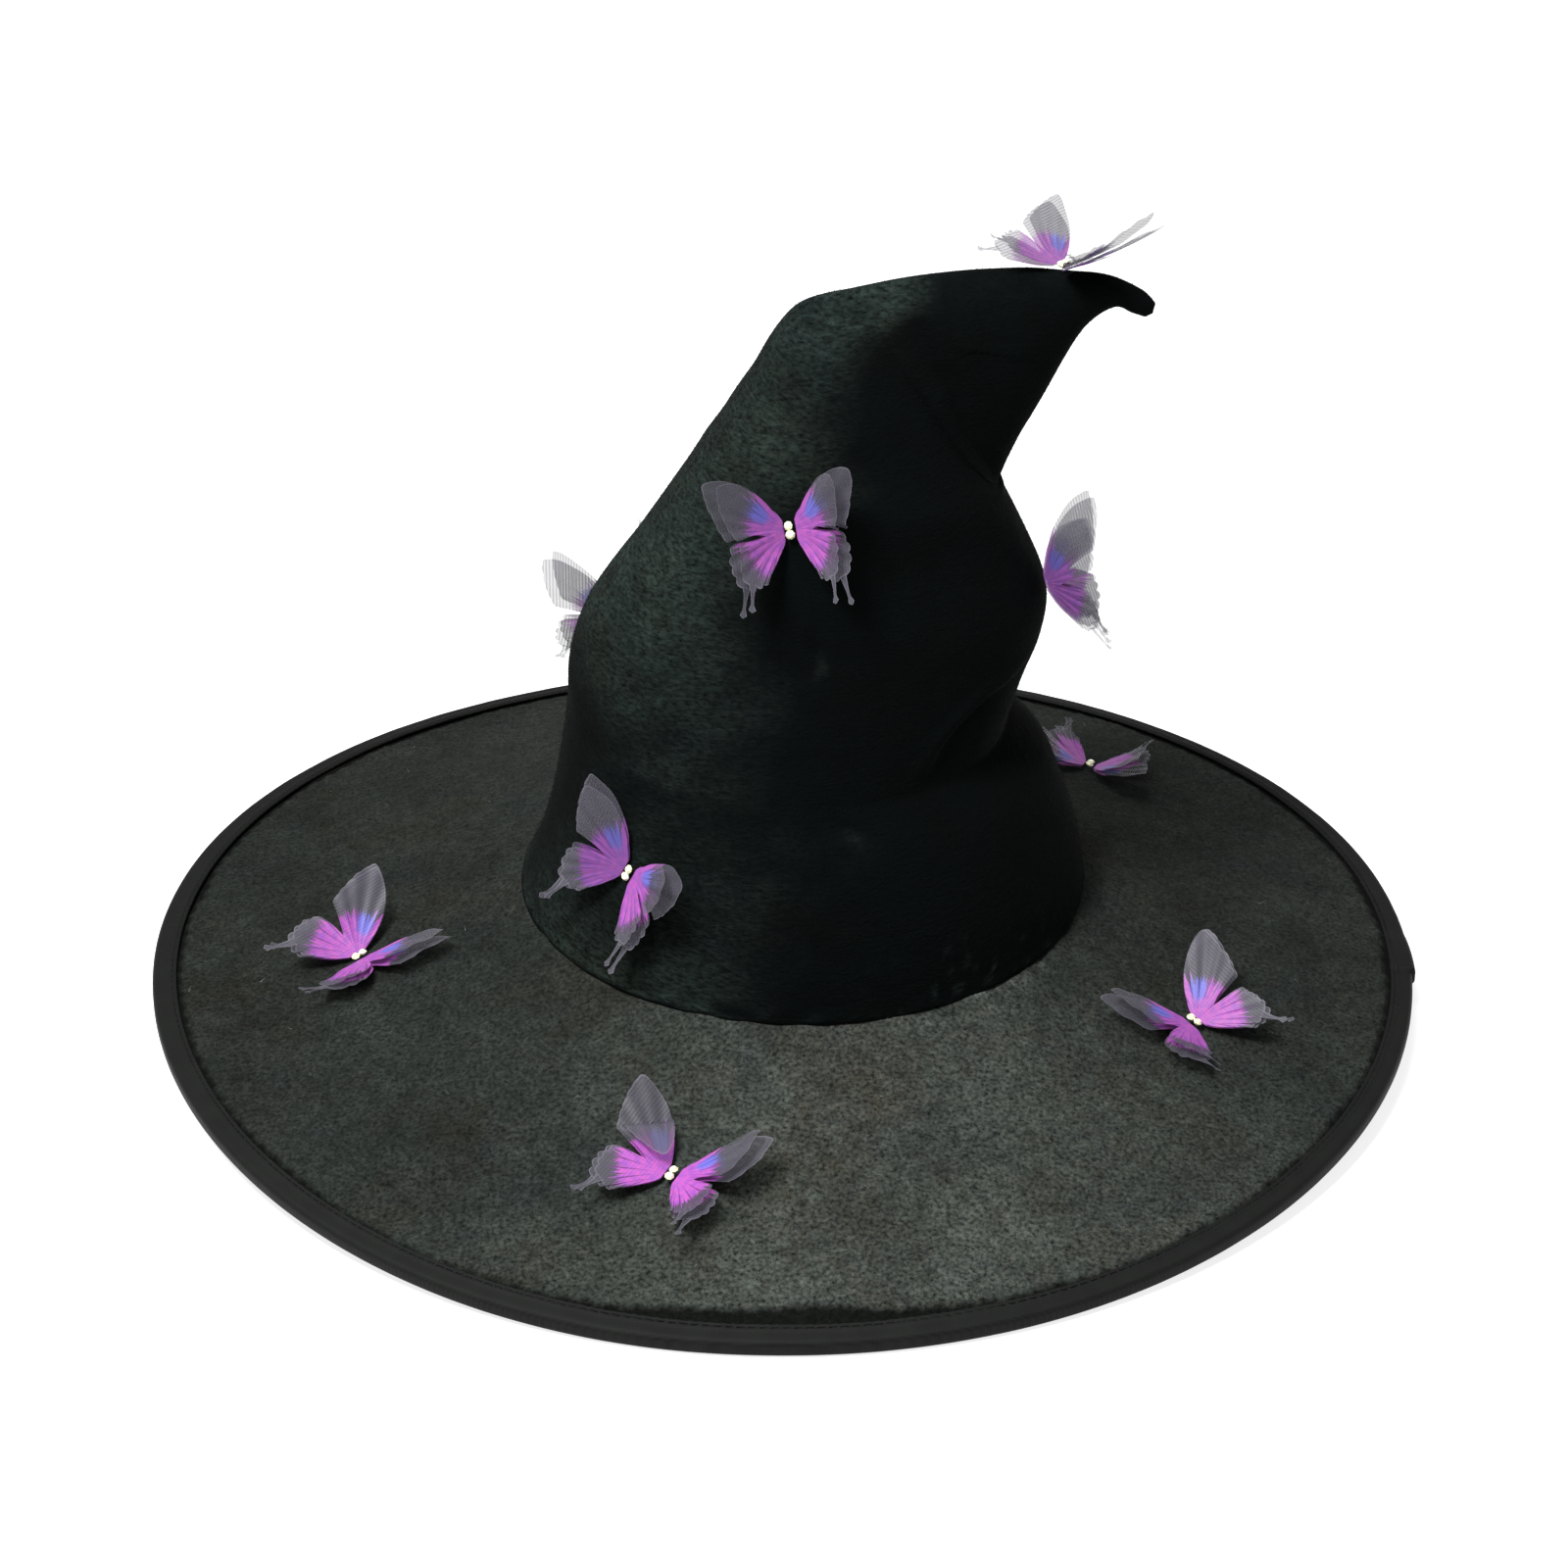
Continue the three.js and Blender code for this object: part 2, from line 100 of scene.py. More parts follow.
class HatColours(bpy.types.PropertyGroup):
    brim: colour_property("Brim velvet", "The pile's dark ground on the brim", "0c0f0c")
    brim_tips: colour_property("Brim tips", "Fibre tips on the brim", "4d524d")
    # The crown's colours are the brim's velvet painted darker, as painted shade on the crown's steep sides.
    crown: colour_property("Crown velvet", "The pile's dark ground on the crown", "020404")
    crown_tips_shaded: colour_property("Crown tips", "Fibre tips on the crown", "26302c")
    binding: colour_property("Binding", "The folded tape round the brim", "101210")
    print_pink: colour_property("Wing pink", "The print next to a butterfly's body", "a44e9f")
    print_blue: colour_property("Wing blue", "The patch on each forewing", "5f5db2")
    sheer: colour_property("Wing sheer", "Organza outside the print", "4c4a53")


class ButterflySizes(bpy.types.PropertyGroup):
    span: length_property("Wing span", "From the body to a forewing's tip, across", 26)
    top_layer: FloatProperty(
        name="Top layer", description="Size of the upper layer, as a share of the lower one",
        default=0.94, min=0.5, max=1, subtype="FACTOR",
    )
    stones: IntProperty(name="Stones", description="Stones in each body", default=2, min=1, max=5)
    stone_radius: length_property("Stone radius", "Of each stone's girdle", 1.5)


def sizes():
    return bpy.context.scene.hat_sizes


def colours():
    return bpy.context.scene.hat_colours


def butterfly_sizes():
    return bpy.context.scene.butterfly_sizes


# ---- the hat's surfaces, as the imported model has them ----

STIFFENER = 1.4 * MM
GAP = 0.3 * MM
FELT_TOP = STIFFENER / 2 + GAP + 1.2 * MM
LINING_BOTTOM = -(STIFFENER / 2 + GAP + 0.4 * MM)
TAPE_THICKNESS = 0.6 * MM
BINDING_TOP = FELT_TOP + GAP + TAPE_THICKNESS
BINDING_BOTTOM = LINING_BOTTOM - GAP - TAPE_THICKNESS
EDGE_LEVEL = -BINDING_BOTTOM
CROWN_LAYERS = 3.3 * MM  # velvet, gap and interlining: the head opening is this far inside the crown
LAP_LENGTH = 24 * MM
LAP_START = math.radians(-5)  # the angle of the cut end of the tape
LAP_THICKNESS = 1.1 * MM  # with the tape's turned-in end
BRIM_HOLLOW = 1.2

# Each row is a section across the crown, in mm: its far-side x and z and its slouch-side x and z, from
# the middle of the foot, and its half depth. It is drawn for this radius and height.
PATTERN_RADIUS = 93 * MM
PATTERN_HEIGHT = 214.5 * MM
PATTERN = [
    (-93, 0, 93, 0, 93),
    (-87, 13, 91, 16, 88),
    (-82.5, 28, 86, 32, 82),
    (-79, 46, 79, 48, 75),
    (-76, 66, 66, 60, 68),
    (-75, 82, 71, 77, 62),
    (-70, 98, 76.5, 93, 56),
    (-60, 114, 77.5, 108, 51),
    (-46, 134, 70, 127, 46),
    (-29, 161, 64.5, 138.5, 41),
    (-17, 180, 63.5, 142, 34),
    (-3, 201, 62, 143, 27),
    (16, 208, 61.5, 143.5, 19),
    (36, 212, 67, 157, 16),
    (52, 214, 74, 171, 13),
    (68, 214.5, 80.5, 185.5, 10),
    (82, 213.5, 87.5, 197, 7.5),
    (94, 212, 95.5, 202.5, 5.5),
    (104, 207.5, 101, 200.5, 4.5),
    (108.5, 203, 105, 199, 3),
]
LOWER_TUCK = 4
UPPER_TUCK = 12
NOSE_END = len(PATTERN) - 1


def opening_radius():
    return sizes().crown_radius - CROWN_LAYERS


def crown_foot():
    return EDGE_LEVEL + sizes().brim_rise + FELT_TOP + GAP


def edge_lift(angle):
    """How far the brim's edge lifts at an angle. It is level over a short arc at front and back."""
    level_arc = 0.12
    side = math.cos(angle)
    share = max(0, abs(side) - level_arc) / (1 - level_arc)
    return share * share * (sizes().right_lift if side > 0 else sizes().left_lift)


def brim_point(radius, angle, height):
    """A point of the brim: distance from its middle, angle, and height over its middle layer."""
    s = sizes()
    out = (radius - opening_radius()) / (s.brim_radius - opening_radius())
    inward = max(0, 1 - out)
    rise = s.brim_rise * inward ** BRIM_HOLLOW + edge_lift(angle) * out * out
    return Vector((
        s.crown_shift * inward + radius * math.cos(angle),
        radius * math.sin(angle),
        EDGE_LEVEL + rise + height,
    ))


def spline(rows, share):
    """A smooth curve through a list of rows of numbers, at a share of its length from 0 to 1."""
    last = len(rows) - 1
    place = share * last
    step = min(int(place), last)
    t = place - step
    before = rows[max(step - 1, 0)]
    here = rows[step]
    after = rows[min(step + 1, last)]
    beyond = rows[min(step + 2, last)]
    result = []
    for p0, p1, p2, p3 in zip(before, here, after, beyond):
        v0, v1 = (p2 - p0) / 2, (p3 - p1) / 2
        cubic, square = 2 * p1 - 2 * p2 + v0 + v1, -3 * p1 + 3 * p2 - 2 * v0 - v1
        result.append(cubic * t ** 3 + square * t * t + v0 * t + p1)
    return result


def crown_section(row):
    """Middle, unit vector across, half width and half depth of the crown at a row number."""
    s = sizes()
    wide = s.crown_radius / PATTERN_RADIUS * MM
    tall = s.crown_height / PATTERN_HEIGHT * MM
    row = min(max(row, 0), NOSE_END)
    for start, end in ((0, LOWER_TUCK), (LOWER_TUCK, UPPER_TUCK), (UPPER_TUCK, NOSE_END)):
        if row <= end:
            break
    far_x, far_z, near_x, near_z, depth = spline(PATTERN[start:end + 1], (row - start) / (end - start))
    far = Vector((far_x * wide, 0, far_z * tall))
    near = Vector((near_x * wide, 0, near_z * tall))
    middle = (far + near) / 2 + Vector((s.crown_shift, 0, crown_foot()))
    across = near - far
    return middle, across.normalized(), across.length / 2, depth * wide


# Folds in the crown: points of row, angle in degrees and depth in mm along each fold, its width in mm,
# and which side lies over the other: 1 the side towards the tip, -1 the side towards the foot, 0 for a
# plain crease. The front is at -90 degrees and the slouch side at 0.
FOLDS = [
    ([(5.6, -14, 0), (5.4, -28, 1.6), (5.3, -38, 3.4), (5.0, -44, 3.4), (4.6, -49, 2.0),
      (4.0, -54, 0)], 2.4, 1),
    ([(5.4, 14, 0), (5.1, 34, 2.0), (4.8, 48, 1.8), (4.3, 60, 0)], 2.6, 1),
    ([(12.1, -8, 0), (12.2, -28, 2.0), (12.4, -64, 3.2), (12.6, -90, 3.4), (12.55, -104, 3.0),
      (12.6, -122, 1.4), (12.8, -138, 0)], 2.4, -1),
    ([(12.2, 20, 0), (12.4, 60, 2.2), (12.5, 96, 2.0), (12.4, 130, 0)], 2.4, -1),
    ([(7.2, -98, 0), (6.9, -94, 1.5), (6.4, -90, 0)], 1.8, 0),
    ([(3.8, -81, 0), (3.5, -78, 1.4), (3.3, -74, 0)], 1.8, 0),
]
# Row, angle in degrees, depth and reach in mm
DENTS = [(6.7, -94, 0.8, 8), (3.5, -78, 0.8, 9), (8.2, -60, 0.9, 11), (3.0, 100, 1.4, 12), (7.4, 84, 1.6, 14)]
ROW_STEP = 16.5  # mm from row to row, about


def distance_to_fold(row, degrees, half_depth, points):
    """How far a place on the crown is from a fold in mm, over 0 on the tip's side and under 0 on the
    foot's, and how deep the fold is there."""
    best, best_side, best_depth = 1e9, 1, 0
    arc = math.radians(1) * half_depth
    for (row_a, turn_a, deep_a), (row_b, turn_b, deep_b) in zip(points, points[1:]):
        ax, ay = (row - row_a) * ROW_STEP, (degrees - turn_a) * arc
        bx, by = (row_b - row_a) * ROW_STEP, (turn_b - turn_a) * arc
        share = min(max((ax * bx + ay * by) / max(bx * bx + by * by, 1e-6), 0), 1)
        gap = math.hypot(ax - share * bx, ay - share * by)
        if gap < best:
            best, best_depth = gap, deep_a + (deep_b - deep_a) * share
            best_side = 1 if ax > share * bx else -1
    return best, best_side, best_depth


def crown_fold(row, angle, half_depth):
    """How far the velvet is pressed in, in metres, at a place on the crown."""
    degrees = math.degrees(math.atan2(math.sin(angle), math.cos(angle)))
    inset = 0.0
    for points, width, over in FOLDS:
        gap, side, deep = distance_to_fold(row, degrees, half_depth / MM, points)
        if over and side != over:
            inset += deep * math.exp(-gap / (4 * width))
        else:
            bulge = (0.5 if over else 0.28) * math.exp(-(((gap - 2.6 * width) / (1.3 * width)) ** 2))
            inset += deep * (math.exp(-((gap / width) ** 1.6)) - bulge)
    for dent_row, dent_turn, deep, reach in DENTS:
        gap, _, _ = distance_to_fold(row, degrees, half_depth / MM, [(dent_row, dent_turn, 0)] * 2)
        inset += deep * math.exp(-((gap / reach) ** 2))
    return inset * MM


def crown_point(row, angle, inset, section=None):
    """A point of the crown with its folds, a distance in from its outer face."""
    middle, across, half_width, half_depth = section or crown_section(row)
    inset = inset + crown_fold(row, angle, half_depth)
    point = middle + across * (max(half_width - inset, half_width * 0.25) * math.cos(angle))
    point.y += max(half_depth - inset, half_depth * 0.25) * math.sin(angle)
    return point


# ---- making pieces ----

def link(mesh, name):
    piece = bpy.data.objects.new(name, mesh)
    bpy.context.scene.collection.objects.link(piece)
    return piece


def new_piece(name, points, faces, material, smooth=True):
    mesh = bpy.data.meshes.new(name)
    mesh.from_pydata([tuple(p) for p in points], [], faces)
    mesh.validate()
    mesh.materials.append(material)
    mesh.polygons.foreach_set("use_smooth", [smooth] * len(mesh.polygons))
    mesh.update()
    return link(mesh, name)


def add_attribute(piece, name, values):
    attribute = piece.data.attributes.new(name, "FLOAT", "POINT")
    attribute.data.foreach_set("value", values)


def apply_modifiers(piece):
    """Turns a piece and its modifiers into a plain mesh."""
    graph = bpy.context.evaluated_depsgraph_get()
    mesh = bpy.data.meshes.new_from_object(piece.evaluated_get(graph))
    piece.modifiers.clear()
    old = piece.data
    piece.data = mesh
    bpy.data.meshes.remove(old)
    mesh.name = piece.name


def thicken(piece, thickness):
    """Gives a surface a thickness, inwards."""
    solid = piece.modifiers.new("Thickness", "SOLIDIFY")
    solid.thickness = thickness
    solid.offset = -1
    apply_modifiers(piece)


def tube_faces(rings, across, closed=False, flip=False):
    """Quads of rings of points, each ring going round. Closed also joins the last ring to the first."""
    faces = []
    for i in range(rings if closed else rings - 1):
        here, there = i * across, ((i + 1) % rings) * across
        for j in range(across):
            k = (j + 1) % across
            quad = (here + j, here + k, there + k, there + j)
            faces.append(quad[::-1] if flip else quad)
    return faces


def cap_faces(rings, across, tip):
    """Triangles from the last ring of a tube to one point, the tip."""
    last_ring = (rings - 1) * across
    return [(last_ring + j, last_ring + (j + 1) % across, tip) for j in range(across)]


def polar(radius, angle):
    return Vector((radius * math.cos(angle), radius * math.sin(angle), 0))


def full_turn(count):
    return [2 * math.pi * i / count for i in range(count)]


def spread(start, end, count):
    return [start + (end - start) * i / (count - 1) for i in range(count)]


def uneven(point, reach, seed=0.0):
    """Smooth noise from -1 to 1 with lumps about as wide as reach."""
    return noise.noise(point / reach + Vector((seed, seed * 0.7, -seed)))


def smooth_step(value):
    value = min(max(value, 0), 1)
    return value * value * (3 - 2 * value)


# ---- nodes ----

def add_node(tree, kind, values=None, **settings):
    """Adds a node with its settings. Each of values is a number for a socket, or a socket to link."""
    node = tree.nodes.new(kind)
    for name, value in settings.items():
        setattr(node, name, value)
    for key, value in (values or {}).items():
        if isinstance(value, bpy.types.NodeSocket):
            tree.links.new(value, node.inputs[key])
        else:
            node.inputs[key].default_value = value
    return node


def output_of(tree, kind, values=None, **settings):
    return add_node(tree, kind, values, **settings).outputs[0]


def object_place(tree):
    return add_node(tree, "ShaderNodeTexCoord").outputs["Object"]


def attribute(tree, name):
    return add_node(tree, "ShaderNodeAttribute", attribute_name=name).outputs["Fac"]


def maths(tree, operation, a, b=0.0):
    return output_of(tree, "ShaderNodeMath", {0: a, 1: b}, operation=operation)


def combined(tree, **values):
    return output_of(tree, "ShaderNodeCombineXYZ", values)


def fitted(tree, value, low, high, to_low=0.0, to_high=1.0, kind="LINEAR"):
    """A value taken from one range to another, and held inside it."""
    return output_of(tree, "ShaderNodeMapRange", {
        "Value": value, "From Min": low, "From Max": high, "To Min": to_low, "To Max": to_high,
    }, interpolation_type=kind)


def lumps(tree, place, size, detail=2.0, roughness=0.5, distortion=0.0):
    """Noise with lumps about as wide as size."""
    return add_node(tree, "ShaderNodeTexNoise", {
        "Vector": place, "Scale": 1 / size, "Detail": detail, "Roughness": roughness, "Distortion": distortion,
    }).outputs["Fac"]


def mixed(tree, share, a, b, data_type="RGBA", **settings):
    node = add_node(tree, "ShaderNodeMix", {"Factor": share, "A": a, "B": b}, data_type=data_type, **settings)
    return node.outputs["Result"]


def bumped(tree, height, strength, distance, under=None):
    values = {"Height": height, "Strength": strength, "Distance": distance}
    if under is not None:
        values["Normal"] = under
    return output_of(tree, "ShaderNodeBump", values)


def start_material(name):
    """A new material and its tree, emptied."""
    material = bpy.data.materials.new(name)
    material.use_nodes = True
    material.node_tree.nodes.clear()
    return material, material.node_tree


def finish_material(material, colour, roughness, more):
    tree = material.node_tree
    values = {"Base Color": colour, "Roughness": roughness, **more}
    shader = output_of(tree, "ShaderNodeBsdfPrincipled", values)
    add_node(tree, "ShaderNodeOutputMaterial", {"Surface": shader})
    return material


def run_rule(name, start_mesh, tree, values, material):
    """Runs a Geometry Nodes tree on a mesh and returns a plain piece of what it makes."""
    source = link(start_mesh, name + "_start")
    modifier = source.modifiers.new("Rule", "NODES")
    modifier.node_group = tree
    for item in tree.interface.items_tree:
        if item.in_out == "INPUT" and item.name in values:
            modifier[item.identifier] = values[item.name]
    graph = bpy.context.evaluated_depsgraph_get()
    mesh = bpy.data.meshes.new_from_object(source.evaluated_get(graph))
    mesh.name = name
    if not len(mesh.polygons):
        raise RuntimeError(f"{name}: its rule made nothing")
    if not mesh.materials:
        mesh.materials.append(material)
    bpy.data.objects.remove(source)
    return link(mesh, name)


def start_rule(name, sockets):
    """A Geometry Nodes tree, and its named inputs: each of a name, a kind and a default."""
    tree = bpy.data.node_groups.new(name, "GeometryNodeTree")
    tree.interface.new_socket("Geometry", in_out="INPUT", socket_type="NodeSocketGeometry")
    for label, kind, default in sockets:
        tree.interface.new_socket(label, in_out="INPUT", socket_type=kind).default_value = default
    tree.interface.new_socket("Geometry", in_out="OUTPUT", socket_type="NodeSocketGeometry")
    return tree, add_node(tree, "NodeGroupInput").outputs


def finish_rule(tree, geometry, material):
    whole = output_of(tree, "GeometryNodeRealizeInstances", {"Geometry": geometry})
    painted = output_of(tree, "GeometryNodeSetMaterial", {"Geometry": whole, "Material": material})
    add_node(tree, "NodeGroupOutput", {"Geometry": painted})
    return tree


# ---- materials ----

GROOVE_SHADE_COLOUR = linear("030403")  # painted shade for the dip in the velvet beside the binding
# Brown and blue-grey, each with where its pattern of patches starts
DYE_LOTS = ((linear("d8b49c"), 0.0), (linear("b4bfdc"), 7.3))
DYE_PATCH = 42 * MM
TUFT = 1.3 * MM
CLUMP = 5 * MM
RIBS = 550.0  # radians of the rib wave to each radian round the head: 1 mm a rib
VEINS = 26.0  # radians of the vein wave to each radian round a wing's root
THREAD_BAND = 1.1  # mm
MAP_WIDTH, MAP_HEIGHT = 40, 80  # mm of flat wing that the UV map takes in


def flocked_velvet(name, ground, tips, nap_scale, sheen):
    """Flocked polyester velvet: short upright nylon fibres, so a speckle where tufts lean apart, and no clear
    highlight.
    Its tufts' brightness is scaled by an attribute of painted light: paler where the surface faces the light
    and painted shade elsewhere. Its tufts are drawn out along the pile's lie, a little coarser than the real
    ones, and its clumps are where the pile was pressed in packing."""
    material, tree = start_material(name)
    place = object_place(tree)
    stretched = output_of(tree, "ShaderNodeMapping", {"Vector": place, "Scale": nap_scale})
    tufts = lumps(tree, stretched, TUFT, 3.0, 0.6)
    clumps = lumps(tree, stretched, CLUMP, 3.0, 0.6)
    light = maths(tree, "MULTIPLY", fitted(tree, tufts, 0.28, 0.78), fitted(tree, clumps, 0.3, 0.7, 0.6, 1.2))
    # painted light: the tufts' brightness is scaled by the attribute of painted light and shade
    shown = maths(tree, "MULTIPLY", light, attribute(tree, "nap_and_painted_light"))
    colour = mixed(tree, shown, ground, tips, clamp_factor=False)
    # broad patches from the light dye lots of the flock
    for tint, offset in DYE_LOTS:
        moved = output_of(tree, "ShaderNodeMapping", {"Vector": place, "Location": (offset, offset, 0)})
        share = fitted(tree, lumps(tree, moved, DYE_PATCH, 7.0, 0.78), 0.46, 0.66, 0.0, 0.5)
        colour = mixed(tree, share, colour, tint, blend_type="MULTIPLY")
    # painted shade: darkens the velvet in the dip beside the binding
    colour = mixed(tree, attribute(tree, "painted_groove_shade"), colour, GROOVE_SHADE_COLOUR)
    bump = bumped(tree, clumps, 0.4, 1.0 * MM, bumped(tree, tufts, 0.8, 0.6 * MM))
    return finish_material(material, colour, 1.0, {
        "Specular IOR Level": 0.05, "Sheen Weight": sheen, "Sheen Roughness": 0.5, "Normal": bump,
    })


def velvet_fibre(name, ground, tips):
    """One nylon fibre of the pile: matte, each a little lighter or darker."""
    material, tree = start_material(name)
    light = fitted(tree, lumps(tree, object_place(tree), 1.4 * MM), 0.4, 0.66)
    # painted light: each fibre's brightness is scaled by the attribute of painted light and shade
    shown = maths(tree, "MULTIPLY", light, attribute(tree, "nap_and_painted_light"))
    colour = mixed(tree, shown, ground, tips, clamp_factor=False)
    # painted shade: darkens the fibres in the dip beside the binding
    colour = mixed(tree, attribute(tree, "painted_groove_shade"), colour, GROOVE_SHADE_COLOUR)
    return finish_material(material, colour, 0.9, {"Specular IOR Level": 0.1})


def woven_cloth(name, warp, weft, pitch, roughness, specular, bump_depth):
    """Plain-woven polyester tape or lining: crossing threads, pitch apart. Real threads are about
    0.25 mm apart; they are drawn coarser so that they show."""
    material, tree = start_material(name)
    place = object_place(tree)
    across, along = (add_node(tree, "ShaderNodeTexWave", {
        "Vector": place, "Scale": 0.314 / pitch, "Distortion": 1.5, "Detail": 2.0, "Detail Scale": 2.0,
    }, bands_direction=way).outputs["Fac"] for way in "XY")
    weave = maths(tree, "MULTIPLY", across, along)
    slubs = lumps(tree, place, 9 * MM, 4.0)
    colour = mixed(tree, fitted(tree, maths(tree, "ADD", weave, slubs), 0.4, 1.2), warp, weft)
    wrinkles = bumped(tree, slubs, 0.3, 0.5 * MM, bumped(tree, weave, 0.5, bump_depth))
    return finish_material(material, colour, roughness, {
        "Specular IOR Level": specular, "Sheen Weight": 0.02, "Normal": wrinkles,
    })


def grosgrain_ribbon(name):
    """Grosgrain sweatband: upright ribs about 1 mm apart, matte with a slight sheen on each rib."""
    material, tree = start_material(name)
    shift = (sizes().crown_shift, 0, 0)
    centred = output_of(tree, "ShaderNodeVectorMath", {0: object_place(tree), 1: shift}, operation="SUBTRACT")
    split = add_node(tree, "ShaderNodeSeparateXYZ", {0: centred}).outputs
    turn = maths(tree, "ARCTAN2", split["Y"], split["X"])
    rib = fitted(tree, maths(tree, "SINE", maths(tree, "MULTIPLY", turn, RIBS)), -1.0, 1.0)
    colour = mixed(tree, rib, linear("0b0b0d"), linear("26262a"))
    return finish_material(material, colour, 0.6, {"Normal": bumped(tree, rib, 0.7, 0.3 * MM)})


def needled_wadding(name, dark, light):
    """Needle-punched interlining: matted fibres with no direction."""
    material, tree = start_material(name)
    fibres = lumps(tree, object_place(tree), 1.2 * MM, 5.0, 0.7, 1.2)
    colour = mixed(tree, fibres, dark, light)
    return finish_material(material, colour, 0.95, {"Normal": bumped(tree, fibres, 0.5, 0.4 * MM)})


def drawn_wire(name):
    """Drawn steel millinery wire: fine marks from the die, and a soft metal shine."""
    material, tree = start_material(name)
    rough = fitted(tree, lumps(tree, object_place(tree), 0.8 * MM, 3.0), 0.0, 1.0, 0.3, 0.5)
    return finish_material(material, linear("9a9c9e"), rough, {"Metallic": 1.0})


def twisted_thread(name, code):
    """Spun polyester thread: a fine twist, quite matte."""
    material, tree = start_material(name)
    colour = mixed(tree, lumps(tree, object_place(tree), 0.4 * MM), linear("050505"), linear(code))
    return finish_material(material, colour, 0.9, {"Specular IOR Level": 0.1})


def printed_organza(name):
    """Laser-cut polyester organza: sheer, with a dye print near the body, a ragged border to the
    print, dark veins and a pale sealed edge. Its threads are about 0.2 mm apart; the weave is drawn
    1.1 mm apart so that two layers make the soft bands that crossed organza shows."""
    c = colours()
    material, tree = start_material(name)
    cut = output_of(tree, "ShaderNodeUVMap", uv_map="cut")
    flat = output_of(tree, "ShaderNodeMapping", {
        "Vector": cut, "Location": (0, -MAP_HEIGHT / 2, 0), "Scale": (MAP_WIDTH, MAP_HEIGHT, 1),
    })
    split = add_node(tree, "ShaderNodeSeparateXYZ", {0: flat}).outputs
    reach = add_node(tree, "ShaderNodeVectorMath", {0: flat}, operation="LENGTH").outputs["Value"]
    turn = maths(tree, "ARCTAN2", split["Y"], split["X"])
    # the print's border: ragged streaks along the veins
    streaks = add_node(tree, "ShaderNodeTexNoise", {
        "W": turn, "Scale": 14.0, "Detail": 3.0, "Roughness": 0.75,
    }, noise_dimensions="1D").outputs["Fac"]
    ragged = fitted(tree, streaks, 0.3, 0.7, -3.2, 3.0)
    border = maths(tree, "ADD", fitted(tree, turn, -0.12, 0.05, 17.0, 15.5), ragged)
    printed = fitted(tree, maths(tree, "SUBTRACT", border, reach), -0.5, 1.2, kind="SMOOTHSTEP")
    # veins: thin dark lines from the root
    comb = maths(tree, "SINE", maths(tree, "MULTIPLY", turn, VEINS))
    vein = maths(tree, "MULTIPLY", fitted(tree, comb, 0.82, 1.0), fitted(tree, reach, 3.0, 14.0, 0.15, 0.75))
    # the blue patch lies along the forewing's leading edge
    moved = output_of(tree, "ShaderNodeMapping", {"Vector": flat, "Location": (-9.2, -9.6, 0)})
    turned = output_of(tree, "ShaderNodeVectorRotate", {
        "Vector": moved, "Angle": math.radians(-46),
    }, rotation_type="Z_AXIS")
    oval = output_of(tree, "ShaderNodeVectorMath", {
        0: turned, 1: (1 / 7.0, 1 / 3.4, 0),
    }, operation="MULTIPLY")
    oval_reach = add_node(tree, "ShaderNodeVectorMath", {0: oval}, operation="LENGTH").outputs["Value"]
    patch = fitted(tree, oval_reach, 1.15, 0.6, kind="SMOOTHSTEP")
    dye = add_node(tree, "ShaderNodeTexNoise", {"Vector": flat, "Scale": 0.35, "Detail": 3.0}).outputs["Fac"]
    ink = mixed(tree, fitted(tree, dye, 0.35, 0.65), linear("84469c"), c.print_pink)
    ink = mixed(tree, patch, ink, c.print_blue)
    ink = mixed(tree, vein, ink, linear("24142f"))
    # some wings are printed darker and bluer, and some hardly at all
    ink = mixed(tree, attribute(tree, "deep"), ink, linear("3a2a66"))
    shown = maths(tree, "MULTIPLY", printed, attribute(tree, "dyed"))
    # the sealed edge catches light
    edge = fitted(tree, attribute(tree, "rim"), 0.975, 1.0)
    colour = mixed(tree, shown, mixed(tree, edge, c.sheer, linear("6d6a74")), ink)
    # alpha: sheer cloth, its threads, its sealed edge and its print
    threads = maths(tree, "SINE", maths(tree, "MULTIPLY", split["X"], 2 * math.pi / THREAD_BAND))
    alpha = mixed(tree, edge, fitted(tree, threads, -1.0, 1.0, 0.5, 0.7), 0.66, data_type="FLOAT")
    alpha = mixed(tree, shown, alpha, 0.93, data_type="FLOAT")
    return finish_material(material, colour, 0.5, {
        "Alpha": alpha, "Specular IOR Level": 0.3, "Normal": bumped(tree, threads, 0.15, 0.1 * MM),
    })


def foiled_stone(name):
    """Foil-backed acrylic stone: moulded facets, pale yellow-green, with near-white painted in as glints off
    the foil.
    """
    material, tree = start_material(name)
    # painted highlight: near-white mottling stands in for the foil's glints over the stone's own pale
    # yellow-green
    painted_glint = add_node(tree, "ShaderNodeTexVoronoi", {
        "Vector": object_place(tree), "Scale": 1 / (0.9 * MM),
    }).outputs["Distance"]
    colour = mixed(tree, painted_glint, linear("fdffee"), linear("e2eaa0"))
    return finish_material(material, colour, 0.12, {
        "Metallic": 0.25, "Coat Weight": 0.8, "Coat Roughness": 0.03,
    })


def repaint(node_name, material):
    """Gives a carried-over solid a better material."""
    slots = frame["nodes"][node_name].data.materials
    slots.clear()
    slots.append(material)


# ---- the brim ----

BRIM_TURNS = 540
LINING_TURNS = 360
GROOVE_WIDTH = 3.4 * MM
PEELED_WIDTH = 6 * MM  # how much wider the groove and its painted shade are at the front, where the pile has come away
PAINTED_LIGHT_SIDE = math.radians(-75)  # the side, near the front, where the brim's velvet is painted paler, as painted light
LOOSE_FLOCK = 311  # degrees: where flock has come loose at the crown's foot
LINING_TUCKS = 74


